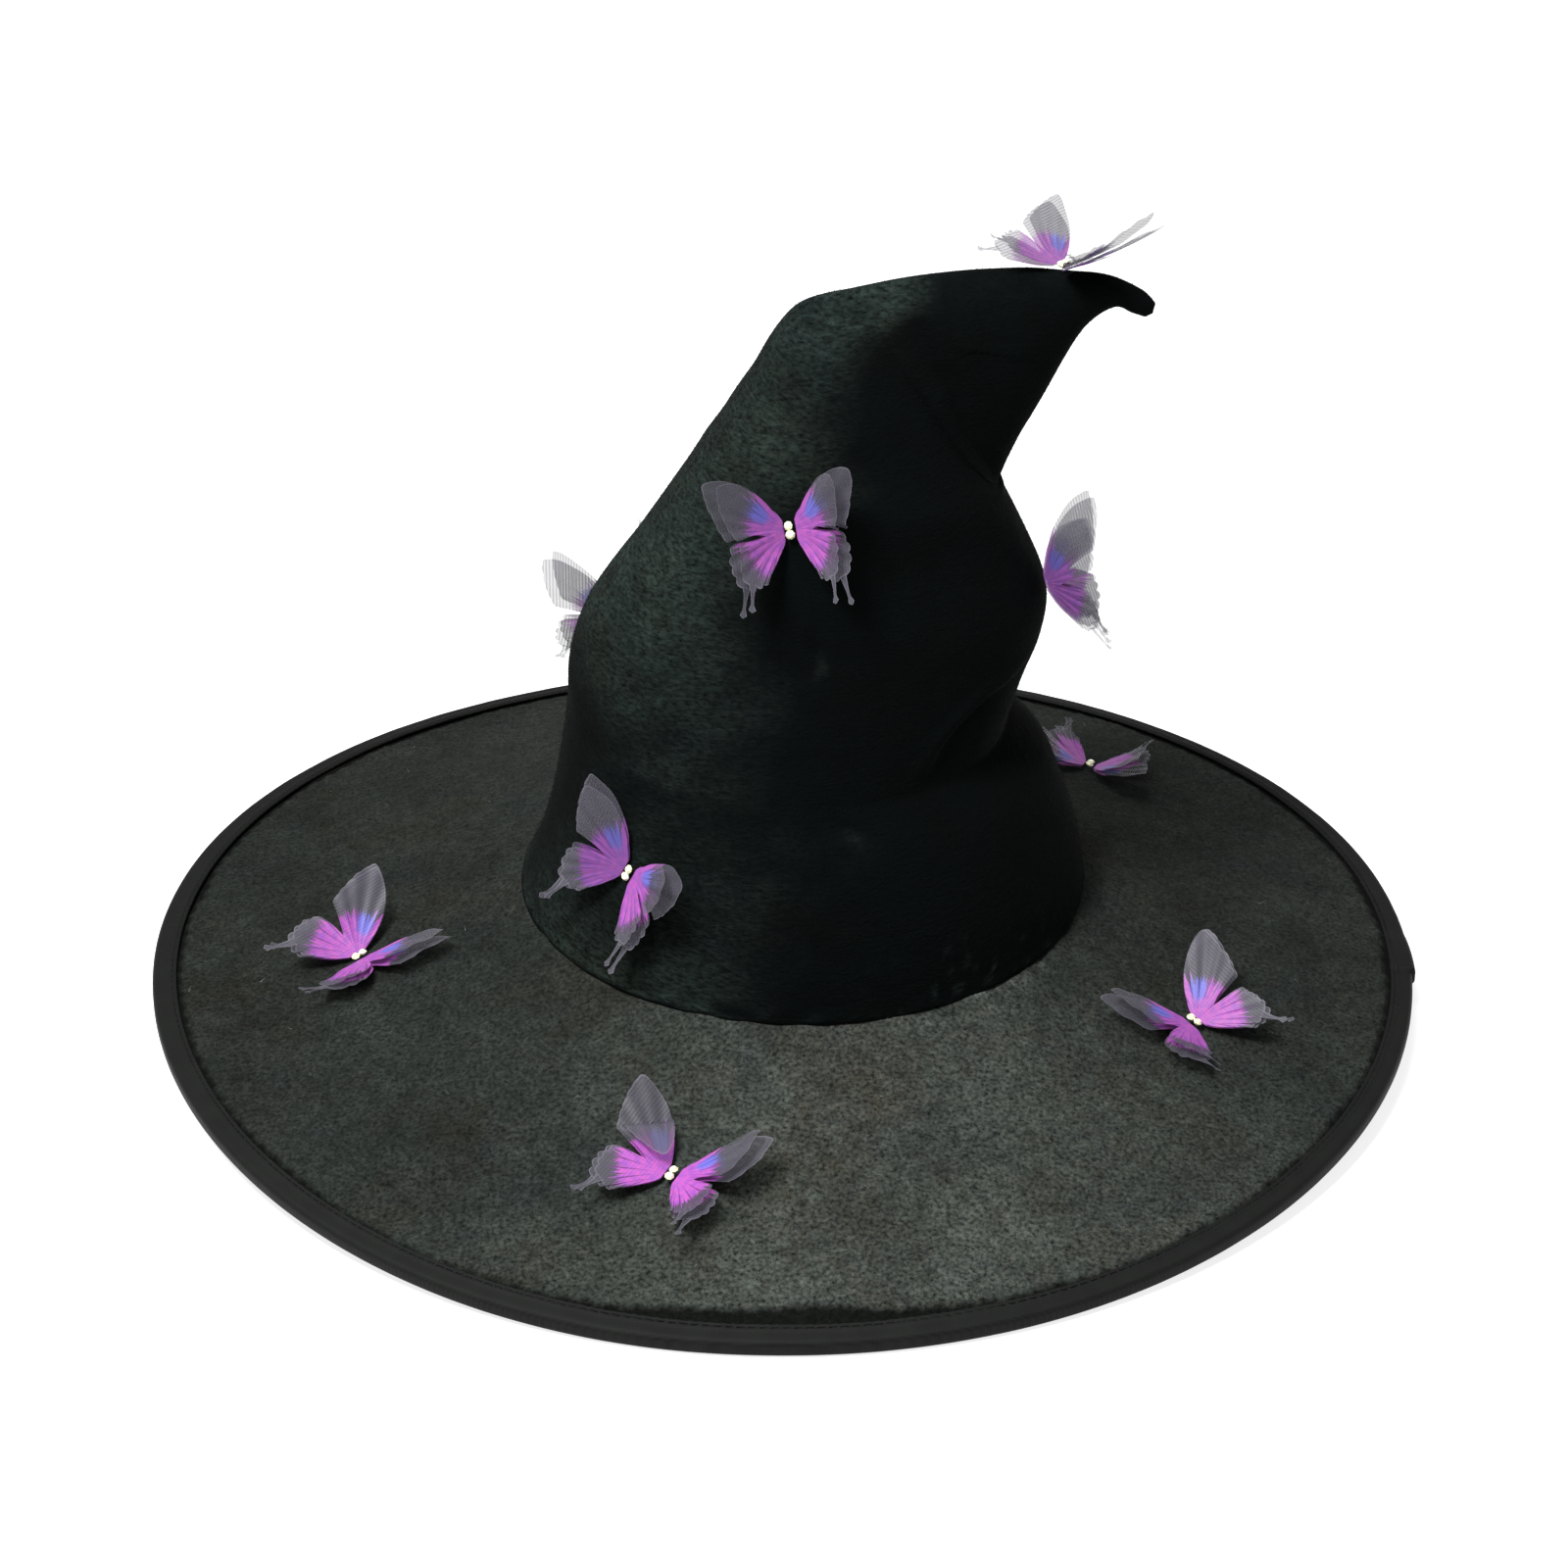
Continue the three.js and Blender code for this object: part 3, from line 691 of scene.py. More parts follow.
def groove_at(radius, angle):
    """How far the brim's velvet is pressed down beside the binding, from 0 to 1."""
    s = sizes()
    inner_edge = s.brim_radius - s.tape_width
    stitch = 0.5 + 0.5 * math.cos(angle * inner_edge / s.stitch_pitch * 2 * math.pi)
    wander = 1.5 * MM * noise.noise(polar(1, angle) * 9)
    from_front = math.degrees(math.atan2(math.cos(angle), -math.sin(angle)))
    peeled = PEELED_WIDTH * math.exp(-(((from_front - 1) / 14) ** 2))
    start = inner_edge - GROOVE_WIDTH - wander - peeled + 1.1 * MM * stitch
    return smooth_step((radius - start) / (2.2 * MM))


def build_brim_skin(material):
    s = sizes()
    inner = opening_radius() + GAP
    outer = s.brim_radius - s.tape_width + 2.5 * MM
    radii = spread(inner, outer - 12 * MM, 34) + spread(outer - 11.4 * MM, outer, 20)
    points, painted_groove_shade, nap_and_painted_light = [], [], []
    for radius in radii:
        for angle in full_turn(BRIM_TURNS):
            flat = polar(radius, angle)
            # painted light: paler towards the front, with random tone over it; loose flock near the crown's
            # foot is added below
            painted_light_and_flock = 0.32 + 0.62 * max(0, math.cos(angle - PAINTED_LIGHT_SIDE)) ** 3.5
            painted_light_and_flock *= 1 + 0.22 * uneven(flat, 60 * MM, 8.8) + 0.3 * uneven(flat, 22 * MM, 2.8)
            from_corner = math.degrees(angle) % 360 - LOOSE_FLOCK
            near_foot = smooth_step(1 - (radius - s.crown_radius) / (9 * MM))
            loose = math.exp(-((from_corner / 22) ** 2)) * near_foot
            painted_light_and_flock += 0.9 * loose * smooth_step(2.2 * uneven(flat, 5 * MM, 6.6) + 0.2)
            nap_and_painted_light.append(painted_light_and_flock)
            pressed = groove_at(radius, angle)
            height = FELT_TOP - 1.0 * MM * pressed
            height += 0.55 * MM * uneven(flat, 48 * MM) + 0.22 * MM * uneven(flat, 14 * MM, 3.1)
            near_crown = smooth_step(1 - (radius - s.crown_radius) / (7 * MM))
            height += near_crown * (0.5 * MM + 1.1 * MM * uneven(flat, 11 * MM, 7.7))
            points.append(brim_point(radius, angle, height))
            # painted shade in the dip beside the binding
            painted_groove_shade.append(0.93 * pressed)
    faces = tube_faces(len(radii), BRIM_TURNS, flip=True)
    skin = new_piece("brim_velvet", points, faces, material)
    add_attribute(skin, "painted_groove_shade", painted_groove_shade)
    add_attribute(skin, "nap_and_painted_light", nap_and_painted_light)
    return skin


def build_brim_lining(material):
    s = sizes()
    radii = spread(opening_radius() + GAP, s.brim_radius - s.tape_width + 2 * MM, 40)
    points = []
    for radius in radii:
        for angle in full_turn(LINING_TURNS):
            flat = polar(radius, angle)
            near_edge = smooth_step((radius - s.brim_radius + 30 * MM) / (20 * MM))
            pucker = 0.22 * MM * math.sin(angle * LINING_TUCKS + 2 * uneven(flat, 40 * MM)) * near_edge
            sag = 0.3 * MM * uneven(flat, 30 * MM, 5.5)
            points.append(brim_point(radius, angle, LINING_BOTTOM + 0.1 * MM + pucker + sag))
    lining = new_piece("brim_lining", points, tube_faces(len(radii), LINING_TURNS), material)
    thicken(lining, 0.25 * MM)
    return lining


def fibre_rule(name, material):
    """A rule that stands short fibres on a surface. Each fibre is one thin triangle."""
    tree, given = start_rule(name, [
        ("Density", "NodeSocketFloat", 1000.0), ("Length", "NodeSocketFloat", 1 * MM),
        ("Width", "NodeSocketFloat", 0.1 * MM), ("Lean", "NodeSocketFloat", 0.8), ("Seed", "NodeSocketInt", 1),
    ])
    spots = add_node(tree, "GeometryNodeDistributePointsOnFaces", {
        "Mesh": given["Geometry"], "Density": given["Density"], "Seed": given["Seed"],
    }).outputs
    triangle = output_of(tree, "GeometryNodeMeshCircle", {"Vertices": 3, "Radius": 1.0}, fill_type="NGON")
    upright = output_of(tree, "GeometryNodeTransform", {
        "Geometry": triangle, "Rotation": (0, -math.pi / 2, 0), "Translation": (0, 0, 0.5),
    })
    half_width = maths(tree, "MULTIPLY", given["Width"], 0.577)
    shape = combined(tree, X=half_width, Y=half_width, Z=maths(tree, "MULTIPLY", given["Length"], 0.667))
    fibre = output_of(tree, "GeometryNodeTransform", {"Geometry": upright, "Scale": shape})
    low = maths(tree, "MULTIPLY", given["Lean"], -1.0)
    lean = output_of(tree, "FunctionNodeRandomValue", {
        0: combined(tree, X=low, Y=low), 1: combined(tree, X=given["Lean"], Y=given["Lean"], Z=2 * math.pi),
        "Seed": given["Seed"],
    }, data_type="FLOAT_VECTOR")
    aimed = output_of(tree, "FunctionNodeRotateRotation", {
        "Rotation": spots["Rotation"], "Rotate By": output_of(tree, "FunctionNodeEulerToRotation", {0: lean}),
    }, rotation_space="LOCAL")
    size = add_node(tree, "FunctionNodeRandomValue", {
        2: 0.5, 3: 1.15, "Seed": given["Seed"],
    }, data_type="FLOAT")
    pile = output_of(tree, "GeometryNodeInstanceOnPoints", {
        "Points": spots["Points"], "Instance": fibre, "Rotation": aimed, "Scale": size.outputs[1],
    })
    return finish_rule(tree, pile, material)


def grow_fibres(name, skin, material, density, length, width, lean, seed):
    tree = fibre_rule(name + "_rule", material)
    values = {"Density": density, "Length": length, "Width": width, "Lean": lean, "Seed": seed}
    return run_rule(name, skin.data.copy(), tree, values, material)


class WITCHHAT_OT_brim(bpy.types.Operator):
    """Build the brim's velvet, pile, pale loose fibres that also stand in for highlight glints, stiffener and
    lining
    """
    bl_idname = "witchhat.brim"
    bl_label = "Brim"

    def execute(self, context):
        s, c = sizes(), colours()
        skin = build_brim_skin(flocked_velvet("Flocked velvet, brim", c.brim, c.brim_tips, (1, 1, 1), 0.01))
        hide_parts("brim_top_felt")
        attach(skin, "hat")

        fibre = velvet_fibre("Velvet fibre, brim", c.brim, linear("565d56"))
        pile = grow_fibres("brim_pile", skin, fibre, 600000, s.pile_length, 0.16 * MM, 1.15, 11)
        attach(pile, "hat")

        # pale fibres: real lint, and also painted highlight glints on the pile
        lint_and_glint_fibre = velvet_fibre("Lint and painted glints", linear("6b6f6a"), linear("a6aaa4"))
        lint_and_glints = grow_fibres("brim_lint_and_glints", skin, lint_and_glint_fibre, 700, 2.4 * MM, 0.12 * MM, 1.45, 5)
        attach(lint_and_glints, "hat")

        cloth = woven_cloth("Woven lining", linear("0d0d0e"), linear("212124"), 0.9 * MM, 0.6, 0.4, 0.12 * MM)
        lining = build_brim_lining(cloth)
        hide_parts("brim_under_lining")
        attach(lining, "hat")

        repaint("brim_stiffener", needled_wadding("Stiff needled felt", linear("2b2b2b"), linear("4a4a4a")))
        return {"FINISHED"}


# ---- the binding ----

TAPE_TURNS = 900
TAPE_ROLL = 1.7 * MM  # radius that the tape turns over the edge with
STITCH_INSET = 1.2 * MM


def lap_at(angle):
    """How much thicker the binding is at an angle, where the tape's end lies over its start."""
    past_step = (angle - LAP_START) / (LAP_LENGTH / sizes().brim_radius)
    return LAP_THICKNESS * (1 - past_step) ** 0.7 if 0 <= past_step < 1 else 0.0


def tape_section():
    """The folded tape's outline: in from the edge, height, share of the lap that pushes it out and up,
    and how much it may ripple."""
    width, roll = sizes().tape_width, TAPE_ROLL
    inside_top = BINDING_TOP - TAPE_THICKNESS
    inside_bottom = BINDING_BOTTOM + TAPE_THICKNESS
    outline = [(-width + (width - roll) * t, BINDING_BOTTOM, 0, 0, 0) for t in (0, 0.35, 0.7)]
    for first, level, up, free in ((-90, BINDING_BOTTOM + roll, 0, 0.2), (0, BINDING_TOP - roll, 1, 0.5)):
        for turn in spread(first, first + 90, 6):
            across, high = math.cos(math.radians(turn)), math.sin(math.radians(turn))
            outline.append((-roll + roll * across, level + roll * high, 1, up, free))
    outline += [(-width + (width - roll) * t, BINDING_TOP, 0, 1, 1) for t in (0.8, 0.6, 0.42)]
    # pulled down along the stitches, and proud beside them
    for inward, high in ((1.8, 0.3), (1.2, -0.25), (0.7, 0.4), (0.2, 0.1)):
        outline.append((-width + inward * MM, BINDING_TOP + high * MM, 0, 1, 1))
    outline += [(-width, BINDING_TOP - 0.25 * MM, 0, 0.5, 1), (-width, inside_top, 0, 0, 0)]
    outline += [(-roll, inside_top, 0, 0, 0), (-TAPE_THICKNESS, inside_top - roll * 0.6, 0, 0, 0)]
    outline += [(-TAPE_THICKNESS, inside_bottom + roll * 0.6, 0, 0, 0), (-roll, inside_bottom, 0, 0, 0)]
    outline += [(-width, inside_bottom, 0, 0, 0)]
    return outline


def build_tape(material):
    """The tape goes once round and ends in a cut edge on top of its start."""
    s = sizes()
    outline = tape_section()
    points = []
    stitches = round(2 * math.pi * s.brim_radius / s.stitch_pitch)
    turns = [LAP_START + turn for turn in full_turn(TAPE_TURNS)]
    turns.append(LAP_START + 2 * math.pi - 0.25 * MM / s.brim_radius)
    for angle in turns:
        rim = polar(1, angle) * s.brim_radius
        pull = 0.16 * MM * math.cos(angle * stitches)
        ripple = 0.16 * MM * uneven(rim, 7 * MM, 1.3) + 0.3 * MM * uneven(rim, 30 * MM, 4.4)
        lap = lap_at(angle)
        for inset, height, out, up, free in outline:
            lift = free * (ripple - pull * smooth_step(-inset / s.tape_width))
            radius = s.brim_radius + inset + lap * out - (0.25 * MM * free * abs(ripple / MM))
            point = brim_point(radius, angle, height + lap * up + lift)
            point.z = max(point.z, edge_lift(angle))
            points.append(point)
    faces = tube_faces(len(turns), len(outline), closed=True, flip=True)
    return new_piece("binding_tape", points, faces, material)


def stitch_rule(name, material):
    """A rule that lays stitches end to end along a path of edges."""
    tree, given = start_rule(name, [
        ("Pitch", "NodeSocketFloat", 3 * MM), ("Length", "NodeSocketFloat", 2 * MM),
        ("Thread radius", "NodeSocketFloat", 0.2 * MM),
    ])
    path = output_of(tree, "GeometryNodeMeshToCurve", {"Mesh": given["Geometry"]})
    steps = output_of(tree, "GeometryNodeResampleCurve", {
        "Curve": path, "Length": given["Pitch"],
    }, mode="LENGTH")
    stitch = output_of(tree, "GeometryNodeMeshCylinder", {
        "Vertices": 6, "Radius": given["Thread radius"], "Depth": given["Length"],
    })
    tangent = output_of(tree, "GeometryNodeInputTangent")
    aimed = output_of(tree, "FunctionNodeAlignRotationToVector", {"Vector": tangent}, axis="Z")
    row = output_of(tree, "GeometryNodeInstanceOnPoints", {
        "Points": steps, "Instance": stitch, "Rotation": aimed,
    })
    return finish_rule(tree, row, material)


def build_stitches(material):
    s = sizes()
    radius = s.brim_radius - s.tape_width + STITCH_INSET
    path = bpy.data.meshes.new("stitch_path")
    path.from_pydata(
        [tuple(brim_point(radius, a, BINDING_TOP - 0.12 * MM + lap_at(a))) for a in full_turn(TAPE_TURNS)],
        [(i, (i + 1) % TAPE_TURNS) for i in range(TAPE_TURNS)], [],
    )
    values = {"Pitch": s.stitch_pitch, "Length": 0.68 * s.stitch_pitch, "Thread radius": 0.22 * MM}
    return run_rule("binding_stitches", path, stitch_rule("Stitches along a path", material), values, material)


class WITCHHAT_OT_binding(bpy.types.Operator):
    """Build the folded tape round the brim, its stitches and its wire"""
    bl_idname = "witchhat.binding"
    bl_label = "Binding"

    def execute(self, context):
        s, c = sizes(), colours()
        cloth = woven_cloth("Bias tape", linear("060706"), c.binding, 0.8 * MM, 0.7, 0.12, 0.08 * MM)
        tape = build_tape(cloth)
        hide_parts("edge_binding")
        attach(tape, "hat")
        thread = twisted_thread("Spun thread", "101111")
        stitches = build_stitches(thread)
        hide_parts("binding_thread")
        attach(stitches, "hat")
        repaint("edge_wire", drawn_wire("Drawn steel wire"))
        return {"FINISHED"}


# ---- the crown ----

CROWN_TURNS = 300
WADDING_TURNS = 120
PAINTED_LIGHT_WAY = Vector((-0.4, -0.3, 0.86))  # the way that the key light comes from: the crown is painted paler where it faces this way, as painted light
HEM = ((2.6, 5.0), (2.4, 0.0), (1.3, -1.3), (-0.3, -0.9))  # how far in and how far up, in mm


def crown_rows(last, steps):
    """Rows of the skin, closer together near the tucks."""
    rows = spread(0, last, round(last * steps) + 1)
    for tuck in (LOWER_TUCK + 1, UPPER_TUCK):
        rows += [tuck + 0.5 * step / steps for step in range(-5, 6, 2)]
    return sorted(rows)


def build_crown_skin(material):
    """One continuous skin of velvet from a turned-in hem at the foot to the nose."""
    s = sizes()
    rows = crown_rows(NOSE_END - 0.12, 9)
    turns = full_turn(CROWN_TURNS)
    points = []
    for hem_inset, hem_height in HEM:
        for angle in turns:
            points.append(crown_point(0, angle, hem_inset * MM) + Vector((0, 0, hem_height * MM)))
    for row in rows:
        section = crown_section(row)
        for angle in turns:
            spot = crown_point(row, angle, 0, section)
            lump = 0.7 * MM * uneven(spot, 40 * MM, 2.2) + 0.25 * MM * uneven(spot, 12 * MM, 6.1)
            foot = smooth_step(1 - row / 0.35)
            lump += foot * (0.3 * MM + 0.9 * MM * uneven(spot, 9 * MM, 9.3))
            calm = min(1, (NOSE_END - row) / 4)
            points.append(crown_point(row, angle, -lump * calm, section))
    rings = len(rows) + len(HEM)
    faces = tube_faces(rings, CROWN_TURNS) + cap_faces(rings, CROWN_TURNS, len(points))
    points.append(crown_section(NOSE_END)[0] + Vector((0.8 * MM, 0, -1.2 * MM)))
    skin = new_piece("crown_velvet", points, faces, material)
    add_attribute(skin, "painted_groove_shade", [0.0] * len(points))
    # Painted light: the velvet is painted paler where it faces the key light and painted dark over the slouch
    # side, which lies in shade; the patches are random tone and the frayed spots real loose flock.
    nap_and_painted_light = []
    for vertex in skin.data.vertices:
        painted_light = smooth_step((vertex.normal.dot(PAINTED_LIGHT_WAY) - 0.58) / 0.3)
        # painted shade over the slouch side, past about 50 mm
        painted_light *= 0.04 + 0.96 * smooth_step((50 * MM - vertex.co.x) / (16 * MM))
        patch = 1 + 0.35 * uneven(vertex.co, 28 * MM, 3.3)
        side = math.degrees(math.atan2(vertex.co.y, vertex.co.x - s.crown_shift)) + 48
        loose = math.exp(-((side / 20) ** 2)) * smooth_step(1 - (vertex.co.z - crown_foot()) / (26 * MM))
        frayed = 0.8 * loose * smooth_step(3 * uneven(vertex.co, 4.5 * MM, 2.9) - 0.6)
        nap_and_painted_light.append((0.015 + 0.95 * painted_light) * patch + frayed)
    add_attribute(skin, "nap_and_painted_light", nap_and_painted_light)
    return skin


def build_interlining(material):
    """The wadding inside the crown, closed over below the nose."""
    rows = crown_rows(17, 4)
    points = []
    for row in rows:
        section = crown_section(row)
        points += [crown_point(row, angle, 2.3 * MM, section) for angle in full_turn(WADDING_TURNS)]
    faces = tube_faces(len(rows), WADDING_TURNS) + cap_faces(len(rows), WADDING_TURNS, len(points))
    points.append(crown_section(17.2)[0])
    piece = new_piece("crown_wadding", points, faces, material)
    thicken(piece, 0.9 * MM)
    return piece


class WITCHHAT_OT_crown(bpy.types.Operator):
    """Build the crown's velvet, pile, wadding and sweatband"""
    bl_idname = "witchhat.crown"
    bl_label = "Crown"

    def execute(self, context):
        s, c = sizes(), colours()
        # painted shade: the crown's velvet and fibre colours are a darker copy of the brim's
        velvet = flocked_velvet("Flocked velvet, crown, painted shade", c.crown, c.crown_tips_shaded, (0.55, 0.55, 1.5), 0.0)
        skin = build_crown_skin(velvet)
        fibre = velvet_fibre("Velvet fibre, crown, painted shade", c.crown, linear("0d1311"))
        pile = grow_fibres("crown_pile", skin, fibre, 420000, 0.8 * s.pile_length, 0.15 * MM, 1.1, 23)
        wadding = build_interlining(needled_wadding("Wadding", linear("101011"), linear("242426")))
        for piece, slot in ((skin, "crown_velvet"), (pile, "crown_velvet"), (wadding, "interlining")):
            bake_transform(piece)
        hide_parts("crown_shell", "crown_tip_shell")
        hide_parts("crown_interlining", "tip_interlining")
        repaint("sweatband", grosgrain_ribbon("Grosgrain ribbon"))
        return {"FINISHED"}


# ---- the butterflies ----

MOST_LIFT = 72  # degrees: each wing's hinge lets it rise to this
LAYER_SPREAD = 6  # degrees between the two layers
LAYER_GAP = 0.3 * MM
DRAWN_SPAN = 26  # mm: the wing's outline below is drawn for this span
BUTTERFLIES = (
    "crown_front", "crown_low_left", "crown_right", "crown_back_left", "tip",
    "brim_left", "brim_front", "brim_right", "brim_back",
)
# How each wing sits: curl of its lower and upper layers in radians over the span, extra lift, turn of
# its forewing and of its hindwing (degrees, forward), size, and how deep and how strong its print is.
WINGS = {
    "crown_front_left": (0.2, 0.28, -5, -8, 9, 1.0, 0.1, 0.82),
    "crown_front_right": (0.35, 0.45, -3, -12, 6, 1.0, 0.05, 0.86),
    "crown_low_left_left": (0.2, 0.3, 0, -3, 2, 0.98, 0.45, 0.92),
    "crown_low_left_right": (0.2, 0.3, -3, -8, 6, 1.0, 0.1, 0.95),
    "crown_right_left": (0.3, 0.36, -3, 0, 0, 0.94, 0.5, 0.8),
    "crown_right_right": (0.3, 0.36, -3, 0, -4, 0.94, 0.4, 0.75),
    "crown_back_left_left": (0.3, 0.5, -4, -10, 6, 1.08, 0.3, 0.12),
    "crown_back_left_right": (0.3, 0.6, 0, -4, 4, 1.0, 0.2, 0.6),
    "tip_left": (0.35, 0.5, 0, 0, 0, 0.9, 0.2, 0.7),
    "tip_right": (0.3, 0.5, -12, 4, 8, 1.0, 0.7, 1.0),
    "brim_left_left": (0.3, 0.45, 2, 0, 0, 0.98, 0.1, 0.95),
    "brim_left_right": (0.15, 0.2, 2, 6, -8, 0.98, 0.05, 0.9),
    "brim_front_left": (0.25, 0.3, -3, 0, 4, 1.0, 0.0, 1.0),
    "brim_front_right": (0.3, 0.4, 0, -6, 4, 0.98, 0.0, 1.0),
    "brim_right_left": (0.25, 0.3, -2, -4, 2, 0.98, 0.1, 0.95),
    "brim_right_right": (0.3, 0.5, -4, -4, 4, 0.98, 0.05, 0.95),
    "brim_back_left": (0.3, 0.5, -6, 0, 0, 0.92, 0.0, 0.9),
    "brim_back_right": (0.3, 0.5, -6, 0, 0, 0.92, 0.0, 0.9),
}
# A forewing that is folded over: which wing layer, the way across the fold in degrees, how far out the
# fold is in mm, and how far round the rest is turned, in degrees.
FOLDED = {"brim_front_left_top": (44, 17, 170)}
FOLD_RADIUS = 0.8  # mm
ROOT = 3.2  # mm: half the length of a wing's root


def bezier(points, count):
    """Points along a Bezier curve of any degree, without its last point."""
    result = []
    for i in range(count):
        t = i / count
        layer = [Vector(p) for p in points]
        while len(layer) > 1:
            layer = [a.lerp(b, t) for a, b in zip(layer, layer[1:])]
        result.append(layer[0])
    return result


def scallop(points, waves, height):
    """Pushes a row of points out in even scallops. Out is to the left of the way that they run."""
    result = []
    for i, point in enumerate(points):
        before, after = points[max(i - 1, 0)], points[min(i + 1, len(points) - 1)]
        way = (after - before).normalized()
        push = abs(math.sin(math.pi * waves * i / len(points))) * height
        result.append(point + Vector((-way.y, way.x)) * push)
    return result


def wing_outline():
    """A wing's edge in mm from the front of its root round to the back, without its tail."""
    edge = bezier([(0.2, 3.2), (4.4, 14.0), (12.5, 22.4), (22.6, 22.8)], 30)
    edge += bezier([(22.6, 22.8), (25.0, 22.9), (24.7, 20.6)], 5)
    edge += scallop(bezier([(24.7, 20.6), (24.4, 11.0), (20.4, 3.2)], 30), 5, 0.28)
    edge += bezier([(20.4, 3.2), (13, 1.8), (7.6, -0.4)], 10)
    edge += bezier([(7.6, -0.4), (13.2, -1.2), (17.4, -3.6)], 10)
    edge += scallop(bezier([(17.4, -3.6), (20.6, -10.4), (15.9, -17.0)], 32), 4, 1.0)
    edge += scallop(bezier([(13.4, -17.4), (10.6, -17.9), (8.2, -15.4)], 14), 2, 0.9)
    edge += bezier([(8.2, -15.4), (3.2, -10.5), (0.2, -3.2)], 16)
    edge.append(Vector((0.2, -3.2)))
    return edge


def fold_over(x, y, across, start, turn):
    """Bends the part of a flat wing beyond a fold line up and back over the rest. All lengths in mm."""
    way = Vector((math.cos(math.radians(across)), math.sin(math.radians(across))))
    spot = Vector((x, y))
    beyond = spot.dot(way) - start
    if beyond <= 0:
        return x, y, 0
    radius, whole = FOLD_RADIUS, math.radians(turn)
    bend = min(beyond / radius, whole)
    straight = beyond - bend * radius
    along = radius * math.sin(bend) + straight * math.cos(bend)
    height = radius * (1 - math.cos(bend)) + straight * math.sin(bend)
    moved = spot + way * (along - beyond)
    return moved.x, moved.y, height


def tail_strip():
    """The tail's centre line and half width, in mm: narrow, with a club at its end."""
    rows = []
    for t in spread(0, 1, 12):
        x = 14.7 + 0.4 * math.sin(2.4 * t) + 2.3 * t * t
        y = -16.6 - 9.4 * t
        club = 0.75 * math.exp(-(((t - 0.9) / 0.1) ** 2)) - 0.5 * smooth_step((t - 0.94) / 0.06)
        half = 1.2 * (1 - t) ** 3 + 0.42 + club
        rows.append((Vector((x, y)), max(half, 0.12)))
    return rows


def wing_mesh_points():
    """Flat points in mm with their share from root to edge, and faces, of one right wing."""
    edge = wing_outline()
    steps = 10
    flat, share, faces = [], [], []
    count = len(edge)
    for i, outer in enumerate(edge):
        root = Vector((0.2, ROOT - 2 * ROOT * i / (count - 1)))
        for j in range(steps + 1):
            t = (j / steps) ** 0.85
            flat.append(root.lerp(outer, t))
            share.append(t)
    for i in range(count - 1):
        for j in range(steps):
            a = i * (steps + 1) + j
            faces.append((a, a + 1, a + steps + 2, a + steps + 1))
    tail = tail_strip()
    start = len(flat)
    for centre, half in tail:
        for side in (-1, 0, 1):
            flat.append(centre + Vector((side * half, side * half * 0.25)))
            share.append(1.0 if side else 0.94)
    for i in range(len(tail) - 1):
        for j in range(2):
            a = start + i * 3 + j
            faces.append((a, a + 3, a + 4, a + 1))
    return flat, share, faces


def wing_hinges(name):
    """Each wing's hinge and its lift at rest, and the ways across, ahead and up from the butterfly."""
    found = {}
    for side in ("left", "right"):
        joint = next(j for j in frame["joints"] if j["name"] == f"{name}_{side}_wing_flex")
        found[side] = (Vector(joint["pos_m"]), math.radians(MOST_LIFT - joint["range_deg"][1]))
        if side == "left":
            ahead = Vector(joint["axis"]).normalized()
    across = (found["right"][0] - found["left"][0]).normalized()
    return found, across, ahead, across.cross(ahead).normalized()


